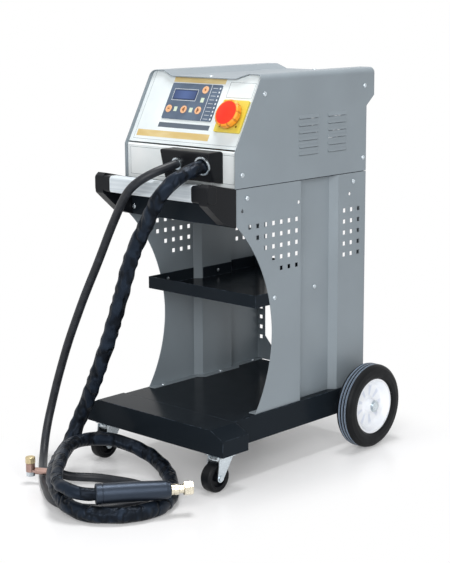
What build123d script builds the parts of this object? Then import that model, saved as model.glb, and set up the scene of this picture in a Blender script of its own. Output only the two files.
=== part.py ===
"""Trolley-mounted dent pulling welder, in millimetres.

+Z is up and the front faces -Y. The origin is on the floor, under the middle of the machine.
"""
from build123d import *
import math
import os

# Cabinet
SHEET = 1.5               # thickness of the cabinet's sheet metal
HALF_W = 167.0            # middle plane to the outside of the side panels
FRONT_Y = -196.0          # front edge of the side panels and hood
REAR_Y = 245.0            # rear edge of the side panels
DECK_Z = 138.0            # top of the wheeled base
PAN_Z = 636.0             # underside of the chassis pan
TOP_Z = 871.0             # ridges of the hood
FIT = 0.05                # radial clearance of a shaft in its bore
GAP = 0.4                 # clearance between sheet parts that slide together
PERFORATION = 9.5         # side of a square hole
PITCH = 25.4              # spacing of the square holes
SCREW_R = 2.0             # shank of the cabinet screws
SCREW_HOLE_R = 2.2
SCREW_SHANK = 7.0
SCREW_HEAD_R = 5.2
SCREW_HEAD = 2.6
NUT_R = 4.2               # across the corners, half
NUT_T = 2.8

# Pressed channel in each side panel
CHANNEL_FRONT = 16.0
CHANNEL_REAR = 146.0
CHANNEL_DEPTH = 15.0

# Hood
HOOD_Z = PAN_Z + SHEET
HOOD_REAR = 272.6
SHOULDER_R = 13.0
RIDGE_X = 127.0           # inner edge of each ridge
TROUGH_X = 96.0           # half width of the flat trough
TROUGH_Z = 860.0
SLOPE_Z = 713.0           # where the front starts to lean back
SLOPE_TOP_Y = -110.6      # where the leaning front edge meets the ridges
OVERHANG_TOP = 808.6
OVERHANG_FOOT = 785.3

# Sloping control panel, set back behind the hood's front edge
PANEL_INSET = 8.0
PANEL_T = 2.0
PANEL_HALF_W = HALF_W - SHEET - 0.3
PANEL_FOOT = 9.5

# Wheels
AXLE_Y = 203.0
AXLE_Z = 97.5             # also the rear wheel's radius
AXLE_R = 8.0
AXLE_HALF = 237.0
TYRE_IN = 194.0           # inner and outer faces of a rear tyre
TYRE_OUT = 238.0
CASTER_X = 174.0
CASTER_Y = -252.5
CASTER_TRAIL = 18.0
CASTER_R = 32.5

# Cables
GUN_CABLE_R = 16.5
EARTH_CABLE_R = 9.5


def from_front(distance):
    """Y of a point that lies this far behind the cabinet's front edge."""
    return FRONT_Y + distance


def keep(name, piece):
    """Label a finished piece and write it."""
    piece.part.label = name
    export_step(piece.part, f"parts/{name}.step")


def mirrored(piece):
    """The same piece on the other side of the machine."""
    with BuildPart() as other:
        mirror(piece.part, about=Plane.YZ)
    return other


def axis_plane(x, y, z):
    """Plane of a wheel's section: its X is the wheel's axis, its Y the radius."""
    return Plane(origin=(x, y, z), x_dir=(1, 0, 0), z_dir=(0, -1, 0))


def turned(plane, *outline):
    """A ring or disc turned about the X axis of its section plane."""
    with BuildPart() as ring:
        with BuildSketch(plane):
            Polygon(*outline, align=None)
        revolve(axis=Axis(plane.origin, plane.x_dir))
    return ring


os.makedirs("parts", exist_ok=True)

# Wheeled base: a folded deck pan, open below, behind a boxed front beam
DECK_HALF_W = 170.0
DECK_FRONT = from_front(-10)
DECK_REAR = from_front(435)
DECK_BOTTOM = 80.0
DECK_WALL = 3.0
FOOT_SCREWS = [(156, from_front(97)), (141, from_front(277)), (156, from_front(409))]
FOOT_PLACES = [(side * x, y) for side in (1, -1) for x, y in FOOT_SCREWS]

with BuildPart() as base_deck:
    with BuildSketch(Plane.XY.offset(DECK_BOTTOM)):
        with Locations((0, (DECK_FRONT + DECK_REAR) / 2)):
            Rectangle(2 * DECK_HALF_W, DECK_REAR - DECK_FRONT)
    extrude(amount=DECK_Z - DECK_BOTTOM)
    offset(amount=-DECK_WALL, openings=base_deck.faces().sort_by(Axis.Z)[0])
    with BuildSketch(Plane.YZ):
        with Locations((AXLE_Y, AXLE_Z)):
            Circle(AXLE_R + FIT)
    extrude(amount=DECK_HALF_W, both=True, mode=Mode.SUBTRACT)
    with BuildSketch(Plane.XY.offset(DECK_Z)):
        with Locations(*FOOT_PLACES):
            Circle(SCREW_HOLE_R)
    extrude(amount=-DECK_WALL, mode=Mode.SUBTRACT)
keep("base_deck", base_deck)

BEAM_HALF_W = 212.0
BEAM_FRONT = from_front(-89)
BEAM_BOTTOM = 84.0
BEAM_SHOULDER_X = 176.0
BEAM_SHOULDER_Z = 120.0
CASTER_BOLT_R = 3.0
CASTER_BOLT_X = 44.0
CASTER_BOLT_Y = 34.0
CASTER_PLACES = [(CASTER_X, CASTER_Y), (-CASTER_X, CASTER_Y)]
BEAM_MOUTH_W = 260.0      # opening in the beam's underside
BEAM_MOUTH_DEPTH = 60.0

with BuildPart() as front_beam:
    with BuildSketch(Plane.XZ.offset(-BEAM_FRONT)):
        Polygon(
            (-BEAM_HALF_W, BEAM_BOTTOM),
            (BEAM_HALF_W, BEAM_BOTTOM),
            (BEAM_HALF_W, BEAM_SHOULDER_Z),
            (BEAM_SHOULDER_X, DECK_Z),
            (-BEAM_SHOULDER_X, DECK_Z),
            (-BEAM_HALF_W, BEAM_SHOULDER_Z),
            align=None,
        )
    extrude(amount=BEAM_FRONT - DECK_FRONT)
    offset(amount=-DECK_WALL, openings=front_beam.faces().sort_by(Axis.Y)[-1])
    with BuildSketch(Plane.XY.offset(BEAM_BOTTOM)):
        with Locations(*CASTER_PLACES):
            with GridLocations(CASTER_BOLT_X, CASTER_BOLT_Y, 2, 2):
                Circle(CASTER_BOLT_R + 0.2)
        with Locations((0, (BEAM_FRONT + DECK_FRONT) / 2)):
            RectangleRounded(BEAM_MOUTH_W, BEAM_MOUTH_DEPTH, 6)
    extrude(amount=DECK_WALL, mode=Mode.SUBTRACT)
keep("front_beam", front_beam)

# Rear axle with its spacer bushes, washers and end caps
HUB_IN = 187.0
HUB_OUT = 233.0
HUB_R = 14.0
RIM_R = 64.0
RIM_T = 3.0
RIM_IN = TYRE_IN + 4
RIM_OUT = TYRE_OUT - 5
WEB_X = 215.0             # outer face of the disc's flat web
WEB_T = 3.0
WEB_IN_R = 22.0
WEB_OUT_R = 46.0
wheel_section = axis_plane(0, AXLE_Y, AXLE_Z)

with BuildPart() as rear_axle:
    with BuildSketch(Plane.YZ):
        with Locations((AXLE_Y, AXLE_Z)):
            Circle(AXLE_R)
    extrude(amount=AXLE_HALF, both=True)
keep("rear_axle", rear_axle)

bore = AXLE_R + FIT
bush = turned(
    wheel_section,
    (DECK_HALF_W, bore),
    (HUB_IN - GAP, bore),
    (HUB_IN - GAP, HUB_R - 1),
    (DECK_HALF_W, HUB_R - 1),
)
washer = turned(
    wheel_section,
    (HUB_OUT + GAP, bore),
    (HUB_OUT + 2, bore),
    (HUB_OUT + 2, HUB_R),
    (HUB_OUT + GAP, HUB_R),
)
cap = turned(
    wheel_section,
    (HUB_OUT + 2.2, bore),
    (HUB_OUT + 2.2, 11),
    (HUB_OUT + 5, 11),
    (HUB_OUT + 6, 9),
    (HUB_OUT + 6, 0),
    (AXLE_HALF + 0.2, 0),
    (AXLE_HALF + 0.2, bore),
)
with BuildPart() as axle_fittings:
    for fitting in (bush, washer, cap):
        add(fitting.part)
        mirror(fitting.part, about=Plane.YZ)
keep("axle_fittings", axle_fittings)

# Rear wheels: a pressed disc and a grooved solid tyre
right_wheel_disc = turned(
    wheel_section,
    (HUB_IN, bore),
    (HUB_OUT, bore),
    (HUB_OUT, HUB_R),
    (WEB_X + 3, HUB_R + 3),
    (WEB_X, WEB_IN_R),
    (WEB_X, WEB_OUT_R),
    (WEB_X + 4, WEB_OUT_R + 6),
    (RIM_OUT - 3, RIM_R - 6),
    (RIM_OUT, RIM_R - 4),
    (RIM_OUT, RIM_R),
    (RIM_IN, RIM_R),
    (RIM_IN, RIM_R - RIM_T),
    (RIM_OUT - 7, RIM_R - RIM_T),
    (WEB_X + 0.5, WEB_OUT_R + 8.5),
    (WEB_X - WEB_T, WEB_OUT_R + 1),
    (WEB_X - WEB_T, WEB_IN_R),
    (WEB_X - WEB_T - 1, HUB_R + 3),
    (HUB_IN, HUB_R),
)
keep("right_wheel_disc", right_wheel_disc)
keep("left_wheel_disc", mirrored(right_wheel_disc))

TYRE_MID = (TYRE_IN + TYRE_OUT) / 2
TREAD_GROOVES = (TYRE_MID + 8, TYRE_MID, TYRE_MID - 8)
GROOVE_HALF = 1.0
GROOVE_DEPTH = 2.0
tread = []
for groove in TREAD_GROOVES:
    tread += [
        (groove + GROOVE_HALF, AXLE_Z),
        (groove + GROOVE_HALF, AXLE_Z - GROOVE_DEPTH),
        (groove - GROOVE_HALF, AXLE_Z - GROOVE_DEPTH),
        (groove - GROOVE_HALF, AXLE_Z),
    ]
right_tyre = turned(
    wheel_section,
    (RIM_IN, RIM_R + FIT),
    (RIM_OUT, RIM_R + FIT),
    (TYRE_OUT - 1, RIM_R + 5),
    (TYRE_OUT, RIM_R + 14),
    (TYRE_OUT - 1, AXLE_Z - 9),
    (TYRE_OUT - 4, AXLE_Z - 4),
    (TYRE_OUT - 8, AXLE_Z - 1),
    (TYRE_OUT - 12, AXLE_Z),
    *tread,
    (TYRE_IN + 12, AXLE_Z),
    (TYRE_IN + 8, AXLE_Z - 1),
    (TYRE_IN + 4, AXLE_Z - 4),
    (TYRE_IN + 1, AXLE_Z - 9),
    (TYRE_IN, RIM_R + 14),
    (TYRE_IN + 1, RIM_R + 5),
)
keep("right_tyre", right_tyre)
keep("left_tyre", mirrored(right_tyre))

# Front casters: top plate with raceway, swivel fork, axle, wheel and tyre
PLATE_BOTTOM = BEAM_BOTTOM - 3
RACE_BOTTOM = PLATE_BOTTOM - 4
CROWN_BOTTOM = 72.0
CROWN_R = 23.0
KINGPIN_R = 5.0
LEG_IN = 15.5
LEG_T = 2.5
LEG_TOP_W = 40.0
CASTER_AXLE_R = 4.0
CASTER_WHEEL_Y = CASTER_Y - CASTER_TRAIL
caster_section = axis_plane(CASTER_X, CASTER_WHEEL_Y, CASTER_R)

with BuildPart() as right_caster_plate:
    with BuildSketch(Plane.XY.offset(PLATE_BOTTOM)):
        with Locations((CASTER_X, CASTER_Y)):
            RectangleRounded(60, 50, 5)
            with GridLocations(CASTER_BOLT_X, CASTER_BOLT_Y, 2, 2):
                Circle(CASTER_BOLT_R + 0.2, mode=Mode.SUBTRACT)
    extrude(amount=BEAM_BOTTOM - PLATE_BOTTOM)
    with BuildSketch(Plane.XY.offset(RACE_BOTTOM)):
        with Locations((CASTER_X, CASTER_Y)):
            Circle(19)
    extrude(amount=PLATE_BOTTOM - RACE_BOTTOM)
    with BuildSketch(Plane.XY.offset(RACE_BOTTOM)):
        with Locations((CASTER_X, CASTER_Y)):
            Circle(KINGPIN_R + FIT)
    extrude(amount=BEAM_BOTTOM - RACE_BOTTOM, mode=Mode.SUBTRACT)
keep("right_caster_plate", right_caster_plate)
keep("left_caster_plate", mirrored(right_caster_plate))

with BuildPart() as right_caster_fork:
    with BuildSketch(Plane.XY.offset(CROWN_BOTTOM)):
        with Locations((CASTER_X, CASTER_Y)):
            Circle(CROWN_R)
    extrude(amount=RACE_BOTTOM - 0.3 - CROWN_BOTTOM)
    with BuildSketch(Plane.XY.offset(CROWN_BOTTOM)):
        with Locations((CASTER_X, CASTER_Y)):
            Circle(KINGPIN_R)
    extrude(amount=BEAM_BOTTOM - 0.5 - CROWN_BOTTOM)
    for leg_x in (CASTER_X + LEG_IN, CASTER_X - LEG_IN - LEG_T):
        with BuildSketch(Plane.YZ.offset(leg_x)):
            with Locations((CASTER_WHEEL_Y, CASTER_R)):
                Circle(9)
            with Locations((CASTER_Y - 1, CROWN_BOTTOM + 2)):
                Rectangle(LEG_TOP_W, 4)
            make_hull()
        extrude(amount=LEG_T)
    with BuildSketch(Plane.YZ.offset(CASTER_X)):
        with Locations((CASTER_WHEEL_Y, CASTER_R)):
            Circle(CASTER_AXLE_R + FIT)
    extrude(amount=LEG_IN + LEG_T, both=True, mode=Mode.SUBTRACT)
keep("right_caster_fork", right_caster_fork)
keep("left_caster_fork", mirrored(right_caster_fork))

LEG_OUT = LEG_IN + LEG_T
right_caster_axle = turned(
    caster_section,
    (-LEG_OUT - 3, 0),
    (-LEG_OUT - 3, 6),
    (-LEG_OUT, 6.5),
    (-LEG_OUT, CASTER_AXLE_R),
    (LEG_OUT, CASTER_AXLE_R),
    (LEG_OUT, 6.5),
    (LEG_OUT + 3, 6),
    (LEG_OUT + 3, 0),
)
keep("right_caster_axle", right_caster_axle)
keep("left_caster_axle", mirrored(right_caster_axle))

CASTER_RIM_R = 24.0
CASTER_HUB = 14.0         # half lengths of the caster's hub, rim and tyre
CASTER_RIM = 12.0
CASTER_TYRE = 13.5
right_caster_wheel = turned(
    caster_section,
    (-CASTER_HUB, CASTER_AXLE_R + FIT),
    (CASTER_HUB, CASTER_AXLE_R + FIT),
    (CASTER_HUB, 9),
    (4, 10),
    (4, 19),
    (CASTER_RIM, 20.5),
    (CASTER_RIM, CASTER_RIM_R),
    (-CASTER_RIM, CASTER_RIM_R),
    (-CASTER_RIM, 20.5),
    (-4, 19),
    (-4, 10),
    (-CASTER_HUB, 9),
)
keep("right_caster_wheel", right_caster_wheel)
keep("left_caster_wheel", mirrored(right_caster_wheel))

right_caster_tyre = turned(
    caster_section,
    (-CASTER_RIM, CASTER_RIM_R + FIT),
    (CASTER_RIM, CASTER_RIM_R + FIT),
    (CASTER_TYRE, CASTER_RIM_R + 2),
    (CASTER_TYRE, CASTER_R - 3.5),
    (CASTER_TYRE - 3.5, CASTER_R - 0.5),
    (CASTER_TYRE - 7, CASTER_R),
    (7 - CASTER_TYRE, CASTER_R),
    (3.5 - CASTER_TYRE, CASTER_R - 0.5),
    (-CASTER_TYRE, CASTER_R - 3.5),
    (-CASTER_TYRE, CASTER_RIM_R + 2),
)
keep("right_caster_tyre", right_caster_tyre)
keep("left_caster_tyre", mirrored(right_caster_tyre))

with BuildPart() as caster_bolts:
    for height, radius in ((0, 5), (4, CASTER_BOLT_R), (10, 5)):
        with BuildSketch(Plane.XY.offset(RACE_BOTTOM + height)):
            with Locations(*CASTER_PLACES):
                with GridLocations(CASTER_BOLT_X, CASTER_BOLT_Y, 2, 2):
                    Circle(radius)
        extrude(amount=6 if radius == CASTER_BOLT_R else 4)
keep("caster_bolts", caster_bolts)


# Side panels: folded sheets with a pressed channel, a cut-away front and square perforations
def side_line(inset):
    """Corners of a side panel's plan line, front to rear, moved inwards by inset."""
    lean = inset * math.tan(math.radians(22.5))
    return [
        (HALF_W - inset, FRONT_Y),
        (HALF_W - inset, CHANNEL_FRONT - lean),
        (HALF_W - CHANNEL_DEPTH - inset, CHANNEL_FRONT + CHANNEL_DEPTH - lean),
        (HALF_W - CHANNEL_DEPTH - inset, CHANNEL_REAR - CHANNEL_DEPTH + lean),
        (HALF_W - inset, CHANNEL_REAR + lean),
        (HALF_W - inset, REAR_Y),
    ]


REAR_FLANGE = 26.0
FOOT_FLANGE = 18.0
CUT_TOP = (FRONT_Y, 562)            # the cut-away's curve, from the front edge down to the deck
CUT_UPPER = (from_front(69), 480)
CUT_DEEPEST = (from_front(117), 325)
CUT_LOWER = (from_front(105), 229)
CUT_FOOT = (from_front(62), DECK_Z)
GUSSET_FOOT_X = 85.0
GUSSET_TOP_X = 142.0
GUSSET_TOP_Z = 200.0
FRONT_ROWS = 5
FRONT_COLUMNS = 7
FRONT_LAST = from_front(198)
TOP_ROW = 552.6
REAR_COLUMNS = [from_front(364.5 + PITCH * column) for column in range(3)]
REAR_FLANGE_HOLES = [194.6 + PITCH * row for row in range(17)]
ROUND_HOLES = [(from_front(y), 589) for y in (22.6, 205, 383)]
PAN_SCREWS = [(from_front(36.7), 615), (from_front(395), 616)]
SHELF_SCREWS = [(from_front(124), 388), (from_front(277), 388)]

with BuildPart() as right_side_panel:
    with BuildSketch(Plane.XY.offset(DECK_Z)):
        Polygon(
            *side_line(0),
            (HALF_W - REAR_FLANGE, REAR_Y),
            (HALF_W - REAR_FLANGE, REAR_Y - SHEET),
            (HALF_W - SHEET, REAR_Y - SHEET),
            *reversed(side_line(SHEET)[:-1]),
            align=None,
        )
    extrude(amount=PAN_Z - DECK_Z)
    with BuildSketch(Plane.XY.offset(DECK_Z)):
        Polygon(*side_line(SHEET), *reversed(side_line(SHEET + FOOT_FLANGE)), align=None)
    extrude(amount=SHEET)
    with BuildSketch(Plane.XZ.offset(-REAR_Y)):
        Polygon(
            (HALF_W - SHEET, DECK_Z),
            (GUSSET_FOOT_X, DECK_Z),
            (GUSSET_TOP_X, GUSSET_TOP_Z),
            (HALF_W - SHEET, GUSSET_TOP_Z),
            align=None,
        )
    extrude(amount=SHEET)
    with BuildSketch(Plane.YZ):
        with BuildLine():
            Polyline(CUT_FOOT, (REAR_Y, DECK_Z), (REAR_Y, PAN_Z), (FRONT_Y, PAN_Z), CUT_TOP)
            ThreePointArc(CUT_TOP, CUT_UPPER, CUT_DEEPEST)
            ThreePointArc(CUT_DEEPEST, CUT_LOWER, CUT_FOOT)
        make_face()
    extrude(amount=HALF_W, mode=Mode.INTERSECT)
    with BuildSketch(Plane.YZ):
        for row in range(FRONT_ROWS):
            row_z = TOP_ROW - PITCH * row
            front_holes = [FRONT_LAST - PITCH * column for column in range(FRONT_COLUMNS - row)]
            with Locations(*[(y, row_z) for y in front_holes + REAR_COLUMNS]):
                Rectangle(PERFORATION, PERFORATION)
        with Locations(*ROUND_HOLES):
            Circle(4)
        with Locations(*PAN_SCREWS, *SHELF_SCREWS):
            Circle(SCREW_HOLE_R)
    extrude(amount=HALF_W, mode=Mode.SUBTRACT)
    with BuildSketch(Plane.XZ.offset(-REAR_Y)):
        with Locations(*[(HALF_W - REAR_FLANGE / 2, z) for z in REAR_FLANGE_HOLES]):
            Rectangle(PERFORATION, PERFORATION)
    extrude(amount=SHEET, mode=Mode.SUBTRACT)
    with BuildSketch(Plane.XY.offset(DECK_Z)):
        with Locations(*FOOT_SCREWS):
            Circle(SCREW_HOLE_R)
    extrude(amount=SHEET, mode=Mode.SUBTRACT)
keep("right_side_panel", right_side_panel)
keep("left_side_panel", mirrored(right_side_panel))

# Shelf tray with upturned lips, standing out in front of the side panels' cut-away
SHELF_FLOOR = 375.0
SHELF_LIP = 401.0
SHELF_FRONT = from_front(65)
SHELF_REAR = from_front(431)
LIP_GAP = CHANNEL_DEPTH + 3         # gaps in the lips, along the channels' slanting sides
LIP_GAP_X = HALF_W - CHANNEL_DEPTH / 2
LIP_GAP_Y = (CHANNEL_FRONT + CHANNEL_DEPTH / 2, CHANNEL_REAR - CHANNEL_DEPTH / 2)


def tray_outline(inset):
    """Corners of the shelf tray's plan, moved inwards by inset."""
    line = side_line(SHEET + GAP + inset)
    right = [(line[0][0], SHELF_FRONT + inset), *line[1:-1], (line[-1][0], SHELF_REAR - inset)]
    return right + [(-x, y) for x, y in reversed(right)]


with BuildPart() as shelf_tray:
    with BuildSketch(Plane.XY.offset(SHELF_FLOOR - SHEET)):
        Polygon(*tray_outline(0), align=None)
    extrude(amount=SHELF_LIP - SHELF_FLOOR + SHEET)
    with BuildSketch(Plane.XY.offset(SHELF_FLOOR)):
        Polygon(*tray_outline(SHEET), align=None)
        with Locations(*[(side * LIP_GAP_X, y) for side in (1, -1) for y in LIP_GAP_Y]):
            Rectangle(2 * CHANNEL_DEPTH, LIP_GAP)
    extrude(amount=SHELF_LIP - SHELF_FLOOR, mode=Mode.SUBTRACT)
    with BuildSketch(Plane.YZ):
        with Locations(*SHELF_SCREWS):
            Circle(SCREW_HOLE_R)
    extrude(amount=HALF_W, both=True, mode=Mode.SUBTRACT)
keep("shelf_tray", shelf_tray)

# Chassis pan under the hood, with side flanges and a deep front apron
APRON_BOTTOM = 556.0
PAN_REAR = from_front(430)
PAN_FLANGE = 30.0
PAN_FLANGE_SPANS = [(from_front(10), from_front(200)), (from_front(354), PAN_REAR)]
APRON_SCREWS = [(-140, 573), (140, 573)]
flange_x = HALF_W - SHEET - GAP

with BuildPart() as chassis_pan:
    with BuildSketch(Plane.XY.offset(PAN_Z)):
        with Locations((0, (FRONT_Y + PAN_REAR) / 2)):
            Rectangle(2 * HALF_W - 1, PAN_REAR - FRONT_Y)
    extrude(amount=SHEET)
    with BuildSketch(Plane.XZ.offset(-FRONT_Y)):
        Polygon(
            (-PANEL_HALF_W, APRON_BOTTOM),
            (PANEL_HALF_W, APRON_BOTTOM),
            (PANEL_HALF_W, PAN_Z),
            (-PANEL_HALF_W, PAN_Z),
            align=None,
        )
        with Locations(*APRON_SCREWS):
            Circle(SCREW_HOLE_R, mode=Mode.SUBTRACT)
    extrude(amount=-SHEET)
    for start, end in PAN_FLANGE_SPANS:
        for inner in (flange_x - SHEET, -flange_x):
            with BuildSketch(Plane.YZ.offset(inner)):
                Polygon(
                    (start, PAN_Z - PAN_FLANGE),
                    (end, PAN_Z - PAN_FLANGE),
                    (end, PAN_Z),
                    (start, PAN_Z),
                    align=None,
                )
            extrude(amount=SHEET)
    with BuildSketch(Plane.YZ):
        with Locations(*PAN_SCREWS):
            Circle(SCREW_HOLE_R)
    extrude(amount=HALF_W, both=True, mode=Mode.SUBTRACT)
keep("chassis_pan", chassis_pan)

# Push handle: an aluminium bar between two cast brackets on the front apron
BAR_HALF = 124.0
BAR_FRONT = from_front(-87)
BAR_REAR = from_front(-60)
BAR_BOTTOM = 614.0
BAR_TOP = 650.0
BRACKET_OUT = 172.0
ARM_IN = 146.0
ARM_OUT = 170.0

with BuildPart() as handle_bar:
    with BuildSketch(Plane.YZ):
        with Locations(((BAR_FRONT + BAR_REAR) / 2, (BAR_BOTTOM + BAR_TOP) / 2)):
            RectangleRounded(BAR_REAR - BAR_FRONT, BAR_TOP - BAR_BOTTOM, 7)
    extrude(amount=BAR_HALF, both=True)
keep("handle_bar", handle_bar)

with BuildPart() as right_handle_bracket:
    with BuildSketch(Plane.YZ.offset(ARM_IN)) as arm:
        Polygon(
            (BAR_FRONT, BAR_BOTTOM - 2),
            (BAR_FRONT, BAR_TOP - 2),
            (from_front(-78), 655),
            (from_front(-64), 652),
            (FRONT_Y, 637),
            (FRONT_Y, APRON_BOTTOM),
            (from_front(-34), 566),
            (from_front(-62), 590),
            align=None,
        )
        fillet(arm.vertices().group_by(Axis.X)[0], 7)
    extrude(amount=ARM_OUT - ARM_IN)
    with BuildSketch(Plane.YZ.offset(BAR_HALF)):
        with Locations(((BAR_FRONT + BAR_REAR) / 2, (BAR_BOTTOM + BAR_TOP) / 2)):
            RectangleRounded(BAR_REAR - BAR_FRONT, BAR_TOP - BAR_BOTTOM, 7)
    extrude(amount=BRACKET_OUT - BAR_HALF)
    fillet(right_handle_bracket.faces().sort_by(Axis.X)[-1].edges(), 1.5)
keep("right_handle_bracket", right_handle_bracket)
keep("left_handle_bracket", mirrored(right_handle_bracket))


# Hood: one folded sheet over the works, louvred on both sides
def hood_section(inset):
    """Closed outline of the hood across the machine, moved inwards by inset."""
    corner_shift = inset * math.tan(math.atan2(TOP_Z - TROUGH_Z, RIDGE_X - TROUGH_X) / 2)
    side = HALF_W - inset
    spring = TOP_Z - SHOULDER_R
    shoulder_x = HALF_W - SHOULDER_R
    shoulder_r = SHOULDER_R - inset
    top = TOP_Z - inset
    with BuildLine() as outline:
        Line((-side, HOOD_Z), (side, HOOD_Z))
        Line((side, HOOD_Z), (side, spring))
        CenterArc((shoulder_x, spring), shoulder_r, 0, 90)
        Polyline(
            (shoulder_x, top),
            (RIDGE_X + corner_shift, top),
            (TROUGH_X + corner_shift, TROUGH_Z - inset),
            (-TROUGH_X - corner_shift, TROUGH_Z - inset),
            (-RIDGE_X - corner_shift, top),
            (-shoulder_x, top),
        )
        CenterArc((-shoulder_x, spring), shoulder_r, 90, 90)
        Line((-side, spring), (-side, HOOD_Z))
    return outline


LOUVRE_COLUMNS = [(from_front(204), from_front(269.5)), (from_front(303), from_front(368))]
LOUVRE_TOP = 774.5
LOUVRE_PITCH = 15.8
LOUVRES = 6
LOUVRE_HALF = 4.5
LOUVRE_PROUD = 2.2
HOOD_SIDE_SCREWS = [
    (from_front(92.6), 830),
    (from_front(433), 831),
    (from_front(22), 665),
    (from_front(429), 668),
]
HOOD_TOP_SCREWS = [(0, from_front(105)), (0, from_front(455))]

with BuildPart() as hood:
    with BuildSketch(Plane.XZ.offset(-FRONT_Y)):
        add(hood_section(0).line)
        make_face()
    extrude(amount=FRONT_Y - HOOD_REAR)
    with BuildSketch(Plane.XZ.offset(-FRONT_Y)):
        add(hood_section(SHEET).line)
        make_face()
    extrude(amount=FRONT_Y - HOOD_REAR, mode=Mode.SUBTRACT)
    with BuildSketch(Plane.YZ) as silhouette:
        Polygon(
            (FRONT_Y, HOOD_Z),
            (FRONT_Y, SLOPE_Z),
            (SLOPE_TOP_Y, TOP_Z),
            (HOOD_REAR, TOP_Z),
            (HOOD_REAR, OVERHANG_TOP),
            (REAR_Y, OVERHANG_FOOT),
            (REAR_Y, HOOD_Z),
            align=None,
        )
        fillet(silhouette.vertices().sort_by(Axis.Y)[-1], 10)
    extrude(amount=HALF_W, both=True, mode=Mode.INTERSECT)
    for start, end in LOUVRE_COLUMNS:
        for row in range(LOUVRES):
            z = LOUVRE_TOP - LOUVRE_PITCH * row
            low = z - LOUVRE_HALF
            with BuildSketch(Plane.XZ.offset(-start)):
                for side in (1, -1):
                    Polygon(
                        (side * (HALF_W - 1), z + LOUVRE_HALF),
                        (side * HALF_W, z + LOUVRE_HALF),
                        (side * (HALF_W + LOUVRE_PROUD), low + 1.5),
                        (side * (HALF_W + LOUVRE_PROUD), low),
                        (side * (HALF_W - 1), low),
                        align=None,
                    )
            extrude(amount=start - end)
            with BuildSketch(Plane.XZ.offset(-start - 1.2)):
                for side in (1, -1):
                    Polygon(
                        (side * (HALF_W - SHEET - 1), z + 2.5),
                        (side * (HALF_W - SHEET), z + 2.5),
                        (side * (HALF_W + LOUVRE_PROUD - 1.2), low + 1),
                        (side * (HALF_W + LOUVRE_PROUD - 1.2), low - 1),
                        (side * (HALF_W - SHEET - 1), low - 1),
                        align=None,
                    )
            extrude(amount=start - end + 2.4, mode=Mode.SUBTRACT)
    with BuildSketch(Plane.YZ):
        with Locations(*HOOD_SIDE_SCREWS):
            Circle(SCREW_HOLE_R)
    extrude(amount=HALF_W, both=True, mode=Mode.SUBTRACT)
    with BuildSketch(Plane.XY.offset(TROUGH_Z)):
        with Locations(*HOOD_TOP_SCREWS):
            Circle(SCREW_HOLE_R)
    extrude(amount=-SHEET, mode=Mode.SUBTRACT)
keep("hood", hood)

# Screws with domed heads, standing on the sheet that they hold
with BuildPart() as screw:
    with BuildSketch():
        Circle(SCREW_HEAD_R)
    extrude(amount=SCREW_HEAD)
    fillet(screw.edges().sort_by(Axis.Z)[-1], SCREW_HEAD - 0.6)
    with BuildSketch():
        Circle(SCREW_R)
    extrude(amount=-SCREW_SHANK)

with BuildPart() as shelf_nut:
    with BuildSketch(Plane.XY.offset(-2 * SHEET - GAP)):
        RegularPolygon(NUT_R, 6)
    extrude(amount=-NUT_T)

hood_screw_planes = [Plane(origin=(x, y, TROUGH_Z)) for x, y in HOOD_TOP_SCREWS]
cabinet_screw_planes = [Plane(origin=(x, y, DECK_Z + SHEET)) for x, y in FOOT_PLACES]
shelf_screw_planes = []
for side in (1, -1):
    outward = (side, 0, 0)
    channel_x = side * (HALF_W - CHANNEL_DEPTH)
    for y, z in HOOD_SIDE_SCREWS:
        hood_screw_planes.append(Plane(origin=(side * HALF_W, y, z), z_dir=outward))
    for y, z in PAN_SCREWS:
        cabinet_screw_planes.append(Plane(origin=(side * HALF_W, y, z), z_dir=outward))
    for x, (y, z) in zip((side * HALF_W, channel_x), SHELF_SCREWS):
        shelf_screw_planes.append(Plane(origin=(x, y, z), z_dir=outward))
for x, z in APRON_SCREWS:
    cabinet_screw_planes.append(Plane(origin=(x, FRONT_Y, z), z_dir=(0, -1, 0)))

with BuildPart() as hood_screws:
    with Locations(*hood_screw_planes):
        add(screw.part)
keep("hood_screws", hood_screws)

with BuildPart() as cabinet_screws:
    with Locations(*cabinet_screw_planes, *shelf_screw_planes):
        add(screw.part)
    with Locations(*shelf_screw_planes):
        add(shelf_nut.part)
keep("cabinet_screws", cabinet_screws)

# Sloping control panel; its plane's X runs across, its Y up the slope, its Z out of the face
slope = Vector(0, SLOPE_TOP_Y - FRONT_Y, TOP_Z - SLOPE_Z).normalized()
slope_normal = Vector(0, -slope.Z, slope.Y)
PANEL = Plane(
    origin=Vector(0, FRONT_Y, SLOPE_Z) - slope_normal * PANEL_INSET,
    x_dir=(1, 0, 0),
    z_dir=slope_normal,
)
PANEL_TOP = 190.0         # past the hood, which trims the panel
KEY_PLACES = {
    "mode_key": (-76, 91.5),
    "minus_key": (-30.5, 91.5),
    "plus_key": (13, 91.5),
    "set_key": (15, 140),
}
KEY_R = 9.0
KEY_STEM_R = 2.0
KEYPAD = (-14, 110.5)
KEYPAD_T = 2.0
LCD = (-41, 125.9)
LCD_SIZE = (68, 22.3)
STOP = (117, 83)
STOP_STEM_R = 5.0
PANEL_FLANGE = 28.0
panel_screw = PANEL.to_local_coords(Vector(0, *HOOD_SIDE_SCREWS[0]))

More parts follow.
